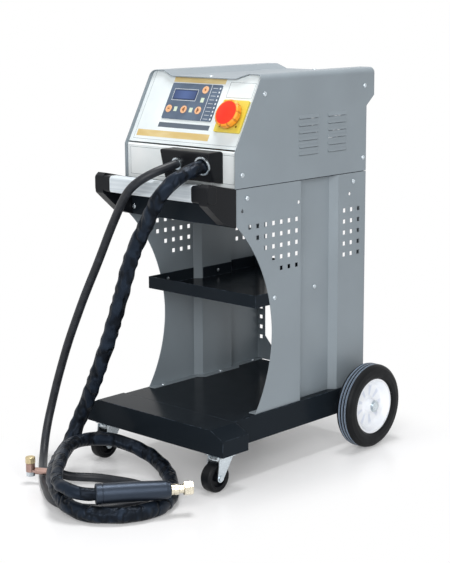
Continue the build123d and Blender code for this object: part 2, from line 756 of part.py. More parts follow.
with BuildPart() as control_panel:
    with BuildSketch(Plane.XZ.offset(-FRONT_Y)):
        add(hood_section(SHEET + 0.3).line)
        make_face()
    extrude(amount=FRONT_Y - REAR_Y)
    with BuildSketch(PANEL):
        Polygon(
            (-PANEL_HALF_W, PANEL_FOOT),
            (PANEL_HALF_W, PANEL_FOOT),
            (PANEL_HALF_W, PANEL_TOP),
            (-PANEL_HALF_W, PANEL_TOP),
            align=None,
        )
    extrude(amount=-PANEL_T, mode=Mode.INTERSECT)
    for inner in (PANEL_HALF_W - SHEET, -PANEL_HALF_W):
        with BuildSketch(PANEL.offset(-PANEL_T / 2)):
            Polygon(
                (inner, panel_screw.Y - 17),
                (inner + SHEET, panel_screw.Y - 17),
                (inner + SHEET, panel_screw.Y + 17),
                (inner, panel_screw.Y + 17),
                align=None,
            )
        extrude(amount=-PANEL_FLANGE)
    with BuildSketch(Plane.YZ):
        with Locations(HOOD_SIDE_SCREWS[0]):
            Circle(SCREW_HOLE_R)
    extrude(amount=HALF_W, both=True, mode=Mode.SUBTRACT)
    with BuildSketch(PANEL):
        with Locations(*KEY_PLACES.values()):
            Circle(KEY_STEM_R + GAP)
        with Locations(STOP):
            Circle(STOP_STEM_R + 1)
    extrude(amount=-PANEL_T, mode=Mode.SUBTRACT)
keep("control_panel", control_panel)

with BuildPart() as keypad:
    with BuildSketch(PANEL):
        with Locations(KEYPAD):
            RectangleRounded(150, 85, 3)
        with Locations(*KEY_PLACES.values()):
            Circle(KEY_R + 0.3, mode=Mode.SUBTRACT)
        with Locations(LCD):
            Rectangle(LCD_SIZE[0] + 0.2, LCD_SIZE[1] + 0.2, mode=Mode.SUBTRACT)
    extrude(amount=KEYPAD_T)
keep("keypad", keypad)

with BuildPart() as lcd_window:
    with BuildSketch(PANEL):
        with Locations(LCD):
            Rectangle(*LCD_SIZE)
    extrude(amount=KEYPAD_T + 0.4)
    chamfer(lcd_window.faces().sort_by(Axis(PANEL.origin, PANEL.z_dir))[-1].edges(), 0.3)
keep("lcd_window", lcd_window)

for key_name, key_place in KEY_PLACES.items():
    with BuildPart() as key:
        with BuildSketch(PANEL.offset(0.9)):
            with Locations(key_place):
                Circle(KEY_R)
        extrude(amount=1.7)
        fillet(key.edges().sort_by(Axis(PANEL.origin, PANEL.z_dir))[-1], 0.5)
        with BuildSketch(PANEL.offset(0.9)):
            with Locations(key_place):
                Circle(KEY_STEM_R)
        extrude(amount=-6.9)
    keep(key_name, key)

# Emergency stop: a yellow plate, a plunger that pushes in, a red cap that twists on it, and contacts
STOP_PLATE = 74.0
STOP_PLATE_T = 4.0
CAP_BOTTOM = 10.5
CAP_TOP = 24.5
CAP_R = 31.0
stop_axis = Axis(PANEL.from_local_coords(Vector(*STOP, 0)), PANEL.z_dir)
stop_section = Plane(origin=stop_axis.position, x_dir=PANEL.x_dir, z_dir=-PANEL.y_dir)

with BuildPart() as stop_plate:
    with BuildSketch(PANEL):
        with Locations(STOP):
            RectangleRounded(STOP_PLATE, STOP_PLATE, 3)
            Circle(STOP_STEM_R + FIT, mode=Mode.SUBTRACT)
    extrude(amount=STOP_PLATE_T)
keep("stop_plate", stop_plate)

with BuildPart() as stop_plunger:
    with BuildSketch(stop_section):
        Polygon(
            (0, -20), (STOP_STEM_R, -20), (STOP_STEM_R, CAP_BOTTOM), (8, CAP_BOTTOM),
            (8, 14), (4, 14), (4, 21), (0, 21),
            align=None,
        )
    revolve(axis=stop_axis)
keep("stop_plunger", stop_plunger)

with BuildPart() as stop_cap:
    with BuildSketch(stop_section):
        with BuildLine():
            Polyline((4 + FIT, 14.4), (4 + FIT, 22), (0, 22), (0, CAP_TOP))
            ThreePointArc((0, CAP_TOP), (15, CAP_TOP - 0.6), (CAP_R - 3, CAP_TOP - 1.8))
            Polyline(
                (CAP_R - 3, CAP_TOP - 1.8), (CAP_R, CAP_TOP - 4), (CAP_R, CAP_BOTTOM),
                (CAP_R - 4, CAP_BOTTOM), (CAP_R - 6, 14.4), (4 + FIT, 14.4),
            )
        make_face()
    revolve(axis=stop_axis)
keep("stop_cap", stop_cap)

with BuildPart() as stop_contacts:
    with BuildSketch(PANEL.offset(-PANEL_T)):
        with Locations(STOP):
            RectangleRounded(44, 44, 3)
    extrude(amount=-45)
    with BuildSketch(PANEL.offset(-PANEL_T)):
        with Locations(STOP):
            Circle(STOP_STEM_R + GAP)
    extrude(amount=-26, mode=Mode.SUBTRACT)
keep("stop_contacts", stop_contacts)

# Lower front panel with a lip that follows the slope, and the cable outlet box that stands on it
LOWER_FACE = from_front(8)
LOWER_BACK = LOWER_FACE + PANEL_T
OUTLET_LEFT = -20.0
OUTLET_RIGHT = 125.0
OUTLET_WALL = 3.0
OUTLET_ROUND = 4.0
OUTLET_TOP = SLOPE_Z
OUTLET_NOSE = from_front(-36)
OUTLET_BROW = OUTLET_TOP - 4
OUTLET_CHIN = (from_front(-22), 650)
OUTLET_FOOT = 645.0
GLAND_Z = 685.0

with BuildPart() as lower_front_panel:
    with BuildSketch(Plane.XZ.offset(-LOWER_FACE)):
        Polygon(
            (-PANEL_HALF_W, HOOD_Z),
            (PANEL_HALF_W, HOOD_Z),
            (PANEL_HALF_W, 711),
            (-PANEL_HALF_W, 711),
            align=None,
        )
        with Locations(((OUTLET_LEFT + OUTLET_RIGHT) / 2, 679)):
            Rectangle(OUTLET_RIGHT - OUTLET_LEFT - 12, 54, mode=Mode.SUBTRACT)
    extrude(amount=-PANEL_T)
    with BuildSketch(PANEL):
        Polygon(
            (-PANEL_HALF_W, 1), (PANEL_HALF_W, 1), (PANEL_HALF_W, 6), (-PANEL_HALF_W, 6),
            align=None,
        )
    extrude(amount=-PANEL_T)
    for inner in (PANEL_HALF_W - SHEET, -PANEL_HALF_W):
        with BuildSketch(Plane.XY.offset(HOOD_Z)):
            Polygon(
                (inner, LOWER_FACE), (inner + SHEET, LOWER_FACE),
                (inner + SHEET, LOWER_FACE + 25), (inner, LOWER_FACE + 25),
                align=None,
            )
        extrude(amount=55)
    with BuildSketch(Plane.YZ):
        with Locations(HOOD_SIDE_SCREWS[2]):
            Circle(SCREW_HOLE_R)
    extrude(amount=HALF_W, both=True, mode=Mode.SUBTRACT)
keep("lower_front_panel", lower_front_panel)

nose = Vector(0, OUTLET_NOSE, OUTLET_BROW)
chin = Vector(0, *OUTLET_CHIN)
face_down = (chin - nose).normalized()
face_out = Vector(0, face_down.Z, -face_down.Y)
OUTLET_FACE = Plane(
    origin=nose + (chin - nose) * ((nose.Z - GLAND_Z) / (nose.Z - chin.Z)),
    x_dir=(1, 0, 0),
    z_dir=face_out,
)
GUN_GLAND = (104.0, 0.0)
EARTH_GLAND = (30.0, 0.0)
SOCKET_DEPTH = 10.0       # how far a cable's end goes in behind the outlet's face
SOCKET_BACK = 14.0
SOCKET_WALL = 2.0
SOCKET_RING = 1.8         # how far the ring stands out round the socket

with BuildPart() as cable_outlet:
    with BuildSketch(Plane.YZ.offset(OUTLET_LEFT)) as outlet_side:
        Polygon(
            (LOWER_FACE, OUTLET_BROW),
            (LOWER_FACE, OUTLET_FOOT),
            OUTLET_CHIN,
            (OUTLET_NOSE, OUTLET_BROW),
            (OUTLET_NOSE + 2, OUTLET_TOP),
            (LOWER_FACE - 4, OUTLET_TOP),
            align=None,
        )
        fillet(outlet_side.vertices().group_by(Axis.X)[1], 6)
    extrude(amount=OUTLET_RIGHT - OUTLET_LEFT)
    fillet(cable_outlet.faces().sort_by(Axis.X)[0].edges().sort_by(Axis.Y)[0:4], OUTLET_ROUND)
    fillet(cable_outlet.faces().sort_by(Axis.X)[-1].edges().sort_by(Axis.Y)[0:4], OUTLET_ROUND)
    with BuildSketch(Plane.YZ.offset(OUTLET_LEFT + OUTLET_WALL)):
        Polygon(
            (LOWER_FACE, OUTLET_TOP - 2 * OUTLET_WALL),
            (LOWER_FACE, OUTLET_FOOT + OUTLET_WALL),
            (OUTLET_CHIN[0] + OUTLET_WALL, OUTLET_CHIN[1] + OUTLET_WALL),
            (OUTLET_NOSE + OUTLET_WALL, OUTLET_TOP - 2 * OUTLET_WALL),
            (OUTLET_NOSE + 2 * OUTLET_WALL, OUTLET_TOP - OUTLET_WALL),
            (LOWER_FACE - OUTLET_WALL, OUTLET_TOP - OUTLET_WALL),
            align=None,
        )
    extrude(amount=OUTLET_RIGHT - OUTLET_LEFT - 2 * OUTLET_WALL, mode=Mode.SUBTRACT)
    with BuildSketch(OUTLET_FACE):
        with Locations(GUN_GLAND):
            Circle(GUN_CABLE_R + SOCKET_WALL + 0.1)
        with Locations(EARTH_GLAND):
            Circle(EARTH_CABLE_R + SOCKET_WALL + 0.1)
    extrude(amount=-SOCKET_BACK - GAP, mode=Mode.SUBTRACT)
keep("cable_outlet", cable_outlet)

# Rear panel with a cooling fan and the mains cable's gland
REAR_FACE = from_front(440)
REAR_INNER = REAR_FACE - PANEL_T
FAN_X = 60.0
FAN_Z = 745.0
FAN_SIZE = 120.0
FAN_DEPTH = 25.0
FAN_BORE = 56.0
MAINS_GLAND = (-90.0, 680.0)
MAINS_GLAND_R = 10.0

with BuildPart() as rear_panel:
    with BuildSketch(Plane.XZ.offset(-REAR_INNER)):
        add(hood_section(SHEET + 0.3).line)
        make_face()
        with Locations((FAN_X, FAN_Z)):
            Circle(FAN_BORE, mode=Mode.SUBTRACT)
        with Locations(MAINS_GLAND):
            Circle(MAINS_GLAND_R + FIT, mode=Mode.SUBTRACT)
    extrude(amount=-PANEL_T)
    for inner in (PANEL_HALF_W - SHEET, -PANEL_HALF_W):
        with BuildSketch(Plane.XY.offset(650)):
            Polygon(
                (inner, REAR_INNER - 20), (inner + SHEET, REAR_INNER - 20),
                (inner + SHEET, REAR_FACE), (inner, REAR_FACE),
                align=None,
            )
        extrude(amount=195)
    with BuildSketch(Plane.YZ):
        with Locations(HOOD_SIDE_SCREWS[1], HOOD_SIDE_SCREWS[3]):
            Circle(SCREW_HOLE_R)
    extrude(amount=HALF_W, both=True, mode=Mode.SUBTRACT)
keep("rear_panel", rear_panel)

FAN = Plane(origin=(FAN_X, REAR_INNER - FAN_DEPTH, FAN_Z), x_dir=(1, 0, 0), z_dir=(0, 1, 0))
FAN_BOSS_R = 19.0
FAN_BOSS_T = 5.0
SPINDLE_R = 3.0

with BuildPart() as fan_frame:
    with BuildSketch(FAN):
        RectangleRounded(FAN_SIZE, FAN_SIZE, 6)
        Circle(FAN_BORE, mode=Mode.SUBTRACT)
    extrude(amount=FAN_DEPTH)
    with BuildSketch(FAN):
        Circle(FAN_BOSS_R)
        with PolarLocations((FAN_BOSS_R + FAN_BORE) / 2, 4, start_angle=45):
            Rectangle(FAN_BORE - FAN_BOSS_R + 4, 6)
    extrude(amount=FAN_BOSS_T)
    with BuildSketch(FAN):
        Circle(SPINDLE_R)
    extrude(amount=FAN_DEPTH - 3)
keep("fan_frame", fan_frame)

BLADES = 7
BLADE_TIP = 53.0
with BuildPart(FAN.offset(FAN_BOSS_T + 0.5)) as fan_rotor:
    Cylinder(FAN_BOSS_R, 15, align=(Align.CENTER, Align.CENTER, Align.MIN))
    with Locations((0, 0, 7.5)):
        with PolarLocations((FAN_BOSS_R + BLADE_TIP) / 2, BLADES):
            Box(BLADE_TIP - FAN_BOSS_R + 4, 16, 2, rotation=(38, 0, 0))
    Cylinder(SPINDLE_R + FIT, 15, align=(Align.CENTER, Align.CENTER, Align.MIN), mode=Mode.SUBTRACT)
keep("fan_rotor", fan_rotor)

with BuildPart() as fan_grille:
    with BuildSketch(FAN.offset(FAN_DEPTH + PANEL_T)):
        for radius in (57, 47, 37, 27, 17):
            Circle(radius + 1.3)
            Circle(radius - 1.3, mode=Mode.SUBTRACT)
        Circle(8)
        with PolarLocations(32, 4, start_angle=45):
            Rectangle(50, 3)
        with PolarLocations(62, 4, start_angle=45):
            Rectangle(12, 9)
    extrude(amount=2)
keep("fan_grille", fan_grille)

# Cable sockets behind metal rings in the outlet's face, and the mains gland at the rear
with BuildPart() as cable_glands:
    for place, cable_r in ((GUN_GLAND, GUN_CABLE_R), (EARTH_GLAND, EARTH_CABLE_R)):
        with BuildSketch(OUTLET_FACE):
            with Locations(place):
                Circle(cable_r + SOCKET_WALL + SOCKET_RING)
        extrude(amount=5)
        with BuildSketch(OUTLET_FACE):
            with Locations(place):
                Circle(cable_r + SOCKET_WALL)
        extrude(amount=-SOCKET_BACK)
        with BuildSketch(OUTLET_FACE.offset(5)):
            with Locations(place):
                Circle(cable_r + FIT)
        extrude(amount=-5 - SOCKET_DEPTH, mode=Mode.SUBTRACT)
    with BuildSketch(Plane.XZ.offset(-REAR_FACE)):
        with Locations(MAINS_GLAND):
            RegularPolygon(16, 6)
    extrude(amount=-8)
    with BuildSketch(Plane.XZ.offset(-REAR_FACE)):
        with Locations(MAINS_GLAND):
            Circle(12)
    extrude(amount=-18)
    with BuildSketch(Plane.XZ.offset(-REAR_FACE)):
        with Locations(MAINS_GLAND):
            Circle(MAINS_GLAND_R)
    extrude(amount=PANEL_T + 8)
    with BuildSketch(Plane.XZ.offset(-REAR_FACE)):
        with Locations(MAINS_GLAND):
            Circle(6)
    extrude(amount=18, both=True, mode=Mode.SUBTRACT)
keep("cable_glands", cable_glands)

# Works under the hood: transformer, busbars to the sockets, thyristors and control board
CORE_X = -50.0
CORE_Y = 70.0
CORE_HALF_W = 75.0
CORE_HALF_D = 35.0
CORE_H = 130.0
LEG_HALF = 25.0           # half of the core's middle leg
WINDOW_OUT = 55.0
WINDOW_Z = (662.5, 742.5)
COIL_T = 24.0
COIL_GAP = 1.0

with BuildPart() as transformer_core:
    with BuildSketch(Plane.XY.offset(HOOD_Z)):
        with Locations((CORE_X, CORE_Y)):
            Rectangle(2 * CORE_HALF_W, 2 * CORE_HALF_D)
    extrude(amount=CORE_H)
    with BuildSketch(Plane.XZ.offset(-CORE_Y)):
        with Locations((CORE_X, sum(WINDOW_Z) / 2)):
            with GridLocations(LEG_HALF + WINDOW_OUT, 1, 2, 1):
                Rectangle(WINDOW_OUT - LEG_HALF, WINDOW_Z[1] - WINDOW_Z[0])
    extrude(amount=CORE_HALF_D, both=True, mode=Mode.SUBTRACT)
keep("transformer_core", transformer_core)

coil_inner_w = 2 * (LEG_HALF + COIL_GAP)
coil_inner_d = 2 * (CORE_HALF_D + COIL_GAP)
with BuildPart() as transformer_windings:
    with BuildSketch(Plane.XY.offset(WINDOW_Z[0] + COIL_GAP)):
        with Locations((CORE_X, CORE_Y)):
            RectangleRounded(coil_inner_w + 2 * COIL_T, coil_inner_d + 2 * COIL_T, COIL_T)
            Rectangle(coil_inner_w, coil_inner_d, mode=Mode.SUBTRACT)
    extrude(amount=WINDOW_Z[1] - WINDOW_Z[0] - 2 * COIL_GAP)
keep("transformer_windings", transformer_windings)

BUSBAR_W = 14.0
BUSBAR_T = 4.0
coil_front = CORE_Y - coil_inner_d / 2 - COIL_T
BUSBARS = [
    (686, GUN_GLAND[0], -30, coil_front - BUSBAR_W),
    (680, EARTH_GLAND[0], -80, coil_front - 4 * BUSBAR_W),
]
with BuildPart() as busbars:
    for bar_z, gland_x, coil_x, cross_y in BUSBARS:
        right = gland_x + BUSBAR_W / 2
        left = gland_x - BUSBAR_W / 2
        with BuildSketch(Plane.XY.offset(bar_z)):
            Polygon(
                (left, from_front(-30)),
                (right, from_front(-30)),
                (right, cross_y + BUSBAR_W),
                (coil_x + BUSBAR_W, cross_y + BUSBAR_W),
                (coil_x + BUSBAR_W, coil_front),
                (coil_x, coil_front),
                (coil_x, cross_y),
                (left, cross_y),
                align=None,
            )
        extrude(amount=BUSBAR_T)
    with BuildSketch(OUTLET_FACE.offset(-SOCKET_BACK)):
        Rectangle(400, 200)
    extrude(amount=60, mode=Mode.SUBTRACT)
keep("busbars", busbars)

with BuildPart() as thyristor_block:
    with BuildSketch(Plane.XY.offset(HOOD_Z)):
        with Locations((105, 100)):
            Rectangle(80, 110)
    extrude(amount=12)
    with BuildSketch(Plane.XY.offset(HOOD_Z)):
        with Locations((105, 100)):
            with GridLocations(10, 1, 8, 1):
                Rectangle(2.5, 110)
    extrude(amount=38)
keep("thyristor_block", thyristor_block)

BOARD_DEPTH = 11.0
with BuildPart() as control_board:
    with BuildSketch(PANEL.offset(-BOARD_DEPTH)):
        with Locations(KEYPAD):
            Rectangle(140, 80)
    extrude(amount=-1.6)
    with BuildSketch(PANEL.offset(-PANEL_T)):
        with Locations(KEYPAD):
            with GridLocations(130, 70, 2, 2):
                Circle(3)
    extrude(amount=PANEL_T - BOARD_DEPTH)
    with BuildSketch(PANEL.offset(-BOARD_DEPTH)):
        with Locations(KEYPAD):
            with GridLocations(34, 30, 3, 2):
                Rectangle(22, 16)
    extrude(amount=-14)
keep("control_board", control_board)

# Welding gun, lying across its cable's loop; its section's X runs from the tail to the nose
GUN_TAIL = Vector(118.6, from_front(-362.8), 56)
GUN_NOSE = Vector(208, from_front(-238), 55)
GUN_R = 21.4
GUN_NOSE_R = 19.0
TAIL_CAP = 13.0
TAIL_SOCKET = 12.0
NOSE_RING = 7.0
COLLAR_R = 11.5
COLLAR_GROOVE_R = 10.3
NECK_R = 9.2
THREAD_R = 9.0
CHUCK_BORE_R = 5.0
CHUCK_BORE_DEPTH = 20.0
NUT_HEX_R = 14.8
NUT_MOUTH_R = 6.5
gun_dir = (GUN_NOSE - GUN_TAIL).normalized()
GUN_SECTION = Plane(origin=GUN_TAIL, x_dir=gun_dir, z_dir=Vector(gun_dir.Y, -gun_dir.X, 0))
GUN_LENGTH = (GUN_NOSE - GUN_TAIL).length
nose_step = GUN_LENGTH - NOSE_RING
collar = GUN_LENGTH + 16
nut_start = GUN_LENGTH + 25.5
thread_end = GUN_LENGTH + 43
nut_end = GUN_LENGTH + 45

gun_handle = turned(
    GUN_SECTION,
    (0, GUN_CABLE_R + FIT),
    (0, GUN_R - 2),
    (2, GUN_R),
    (TAIL_CAP, GUN_R),
    (TAIL_CAP, GUN_R - 1.2),
    (TAIL_CAP + 2, GUN_R - 1.2),
    (TAIL_CAP + 2, GUN_R),
    (GUN_LENGTH / 2, GUN_R),
    (nose_step - 4, GUN_NOSE_R),
    (nose_step, GUN_NOSE_R - 0.6),
    (nose_step, GUN_NOSE_R - 2),
    (GUN_LENGTH - 2.5, GUN_NOSE_R - 2.4),
    (GUN_LENGTH, COLLAR_R + 1.5),
    (GUN_LENGTH, 0),
    (TAIL_SOCKET, 0),
    (TAIL_SOCKET, GUN_CABLE_R + FIT),
)
keep("gun_handle", gun_handle)

gun_chuck = turned(
    GUN_SECTION,
    (GUN_LENGTH, 0),
    (GUN_LENGTH, COLLAR_R),
    (GUN_LENGTH + 4, COLLAR_R),
    (GUN_LENGTH + 4, COLLAR_GROOVE_R),
    (GUN_LENGTH + 6, COLLAR_GROOVE_R),
    (GUN_LENGTH + 6, COLLAR_R),
    (collar - 1, COLLAR_R),
    (collar, COLLAR_R - 1),
    (collar, NECK_R),
    (nut_start - GAP, NECK_R),
    (nut_start - GAP, THREAD_R),
    (thread_end, THREAD_R),
    (thread_end, CHUCK_BORE_R),
    (thread_end - CHUCK_BORE_DEPTH, CHUCK_BORE_R),
    (thread_end - CHUCK_BORE_DEPTH, 0),
)
keep("gun_chuck", gun_chuck)

NUT_PLANE = Plane(origin=GUN_TAIL + gun_dir * nut_start, x_dir=GUN_SECTION.y_dir, z_dir=gun_dir)
with BuildPart() as chuck_nut:
    with BuildSketch(NUT_PLANE):
        RegularPolygon(NUT_HEX_R, 6)
    extrude(amount=nut_end - nut_start)
    chamfer(chuck_nut.faces().sort_by(Axis(GUN_TAIL, gun_dir))[0].edges(), 1.5)
    chamfer(chuck_nut.faces().sort_by(Axis(GUN_TAIL, gun_dir))[-1].edges(), 1)
    with BuildSketch(NUT_PLANE):
        Circle(THREAD_R + FIT)
    extrude(amount=thread_end + 0.6 - nut_start, mode=Mode.SUBTRACT)
    with BuildSketch(NUT_PLANE):
        Circle(NUT_MOUTH_R)
    extrude(amount=nut_end - nut_start, mode=Mode.SUBTRACT)
keep("chuck_nut", chuck_nut)

# Earth lug at the end of the thin cable: copper barrel and ring, a bolt through it, a brass knob on top
LUG_START = Vector(-124.3, from_front(-283), 28)
LUG_DIR = Vector(-0.869, -0.495, 0).normalized()
LUG_REACH = 39.6
LUG_BARREL_R = 7.5
LUG_RING_R = 10.0
LUG_BOTTOM = 26.0
LUG_TOP = 44.5
LUG_PALM = 5.0
BOLT_R = 5.0
BOLT_HEAD_R = 9.5
BOLT_HEAD = 10.0
BOLT_LENGTH = 30.0
KNOB_R = 10.8
KNOB_H = 14.0
KNOB_BOTTOM = LUG_TOP + GAP
bolt_at = LUG_START + LUG_DIR * LUG_REACH
bolt_xy = (bolt_at.X, bolt_at.Y)
lug_neck = (bolt_at.X - LUG_DIR.X * LUG_RING_R, bolt_at.Y - LUG_DIR.Y * LUG_RING_R)

with BuildPart() as earth_lug:
    with BuildSketch(Plane(origin=LUG_START, x_dir=(0, 0, 1), z_dir=LUG_DIR)):
        Circle(LUG_BARREL_R)
    extrude(amount=LUG_REACH - LUG_RING_R - 1.5)
    with BuildSketch(Plane(origin=(*lug_neck, LUG_BOTTOM), x_dir=LUG_DIR, z_dir=(0, 0, 1))):
        Rectangle(LUG_RING_R, 2 * LUG_BARREL_R)
    extrude(amount=LUG_PALM)
    with BuildSketch(Plane.XY.offset(LUG_BOTTOM)):
        with Locations(bolt_xy):
            Circle(LUG_RING_R)
    extrude(amount=LUG_TOP - LUG_BOTTOM)
    with BuildSketch(Plane.XY.offset(LUG_BOTTOM)):
        with Locations(bolt_xy):
            Circle(BOLT_R + FIT)
    extrude(amount=LUG_TOP - LUG_BOTTOM, mode=Mode.SUBTRACT)
keep("earth_lug", earth_lug)

with BuildPart() as earth_bolt:
    with BuildSketch(Plane.XY.offset(LUG_BOTTOM - BOLT_HEAD)):
        with Locations(bolt_xy):
            RegularPolygon(BOLT_HEAD_R, 6)
    extrude(amount=BOLT_HEAD)
    with BuildSketch(Plane.XY.offset(LUG_BOTTOM)):
        with Locations(bolt_xy):
            Circle(BOLT_R)
    extrude(amount=BOLT_LENGTH)
keep("earth_bolt", earth_bolt)

with BuildPart() as earth_knob:
    with BuildSketch(Plane.XY.offset(KNOB_BOTTOM)):
        with Locations(bolt_xy):
            Circle(KNOB_R)
    extrude(amount=KNOB_H)
    fillet(earth_knob.edges().sort_by(Axis.Z)[-1], 2)
    chamfer(earth_knob.edges().sort_by(Axis.Z)[0], 0.8)
    with BuildSketch(Plane.XY.offset(KNOB_BOTTOM)):
        with Locations(bolt_xy):
            Circle(BOLT_R + FIT)
    extrude(amount=LUG_BOTTOM + BOLT_LENGTH + GAP - KNOB_BOTTOM, mode=Mode.SUBTRACT)
keep("earth_knob", earth_knob)


# Cables: each hangs from its socket past the handle and lies in a loop on the floor
def route(start, points, end):
    """Route of a cable, from its straight start to its straight end."""
    return [*start, *[Vector(x, from_front(y), z) for x, y, z in points], *end]


def corner_radii(points):
    """The largest radius at each corner that its two runs leave room for."""
    radii = []
    for before, corner, after in zip(points, points[1:], points[2:]):
        run_in = corner - before
        run_out = after - corner
        half_turn = math.radians(run_in.get_angle(run_out)) / 2
        radii.append(0.45 * min(run_in.length, run_out.length) / math.tan(half_turn))
    return radii


def cable(name, points, radius):
    """A round cable along its route."""
    radii = corner_radii(points)
    with BuildPart() as tube:
        with BuildLine() as path:
            FilletPolyline(*points, radius=radii)
        with BuildSketch(Plane(origin=path.line @ 0, z_dir=path.line % 0)):
            Circle(radius)
        sweep(path=path.line)
    length = sum(edge.length for edge in path.edges())
    filled = tube.part.volume / (math.pi * radius**2 * length)
    print(f"{name} length {length:.0f}, volume against section times length {filled:.4f}")
    print(f"{name} radii", " ".join(f"{bend:.0f}" for bend in radii))
    keep(name, tube)


def socket_start(place, reach):
    """A cable's end in its socket, and the point where it starts to bend."""
    return [OUTLET_FACE.from_local_coords(Vector(*place, z)) for z in (-SOCKET_DEPTH, reach)]


GUN_ROUTE = [
    (98, -99, 667), (81, -130, 637), (56, -132, 598), (28, -130, 557), (3, -134, 513),
    (-16, -137, 468), (-30, -140, 421), (-46, -143, 374), (-62, -146, 328), (-79, -149, 283),
    (-98, -153, 238), (-118, -155, 193), (-140, -156, 150), (-155, -167, 108), (-152, -192, 70),
    (-135, -229, 54.5), (-108, -266, 54.5), (-79, -302, 51), (-46, -334, 46), (-7, -360, 42),
    (34, -381, 31), (79, -389, 20.5), (125, -375, 17.2), (163, -345, 17.5), (188, -302, 18),
    (192, -255, 17.2), (174, -210, 18), (144, -171, 17.2), (106, -137, 17.5), (68, -107, 20),
    (26, -86, 28), (-18, -83, 44), (-60, -102, 59.5), (-91, -136, 75), (-108, -182, 82.5),
    (-104, -230, 85), (-81, -273, 83.5), (-48, -309, 80.5), (-16, -344, 78), (13, -376, 73),
    (44, -395, 67), (77, -396, 63.5),
]
gun_end = [GUN_TAIL + gun_dir * along for along in (-22, TAIL_SOCKET)]
cable("gun_cable", route(socket_start(GUN_GLAND, 22), GUN_ROUTE, gun_end), GUN_CABLE_R)

EARTH_ROUTE = [
    (15, -93, 668), (-17, -120, 642), (-54, -113, 608), (-86, -103, 571), (-109, -104, 531),
    (-127, -108, 490), (-145, -112, 451), (-165, -115, 412), (-185, -118, 372), (-203, -121, 332),
    (-220, -125, 292), (-236, -128, 252), (-251, -131, 210), (-265, -134, 168.5), (-275, -139, 127),
    (-277, -151, 87), (-267, -170, 50.5), (-245, -194, 24), (-216, -221, 12), (-182, -249, 9.6),
    (-147, -277, 9.6), (-110, -305, 9.6), (-72, -330, 9.6), (-34, -354, 9.6), (7, -365, 9.6),
    (49, -358, 9.6), (85, -336, 9.6), (110, -302, 9.6), (122, -263, 9.6), (118, -223, 9.6),
    (99, -190, 9.6), (65, -173, 9.6), (25, -174, 9.6), (-16, -187, 9.6), (-54, -206, 11.5),
    (-79, -232, 13.5), (-90, -257, 19),
]
earth_end = [LUG_START - LUG_DIR * 22, LUG_START]
cable("earth_cable", route(socket_start(EARTH_GLAND, 16), EARTH_ROUTE, earth_end), EARTH_CABLE_R)
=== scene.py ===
"""Trolley-mounted dent pulling welder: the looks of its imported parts, in metres.

+Z is up and the front faces -Y. The sections follow the machine as it is put together.
"""
import math

import bpy
from mathutils import Matrix, Vector


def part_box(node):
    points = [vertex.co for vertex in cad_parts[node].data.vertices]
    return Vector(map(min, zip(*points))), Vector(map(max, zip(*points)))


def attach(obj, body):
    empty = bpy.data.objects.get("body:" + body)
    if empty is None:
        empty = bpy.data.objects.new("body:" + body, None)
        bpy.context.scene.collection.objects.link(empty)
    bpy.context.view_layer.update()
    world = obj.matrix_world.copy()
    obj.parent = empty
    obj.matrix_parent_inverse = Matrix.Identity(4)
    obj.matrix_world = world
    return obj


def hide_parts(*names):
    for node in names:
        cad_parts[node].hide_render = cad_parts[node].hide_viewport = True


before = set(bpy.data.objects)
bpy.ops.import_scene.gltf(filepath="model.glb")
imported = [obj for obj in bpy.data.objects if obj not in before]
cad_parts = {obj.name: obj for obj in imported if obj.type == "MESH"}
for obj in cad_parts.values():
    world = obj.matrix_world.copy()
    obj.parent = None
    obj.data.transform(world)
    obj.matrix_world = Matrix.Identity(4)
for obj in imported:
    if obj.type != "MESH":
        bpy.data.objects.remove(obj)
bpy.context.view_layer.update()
bpy.ops.object.select_all(action="DESELECT")


# Wheeled base. A deck pan and a boxed front beam, folded from steel sheet and sprayed
# with satin black powder, which shows the faint peel of the coat and is paler in patches along its
# folds.
def tint(code, factor=1.0):
    """The shader's value of a screen colour, times a factor that darkens or brightens it."""
    steps = [int(code[place:place + 2], 16) / 255 for place in (0, 2, 4)]
    light = [step / 12.92 if step < 0.04045 else ((step + 0.055) / 1.055) ** 2.4 for step in steps]
    return (*[factor * step for step in light], 1)


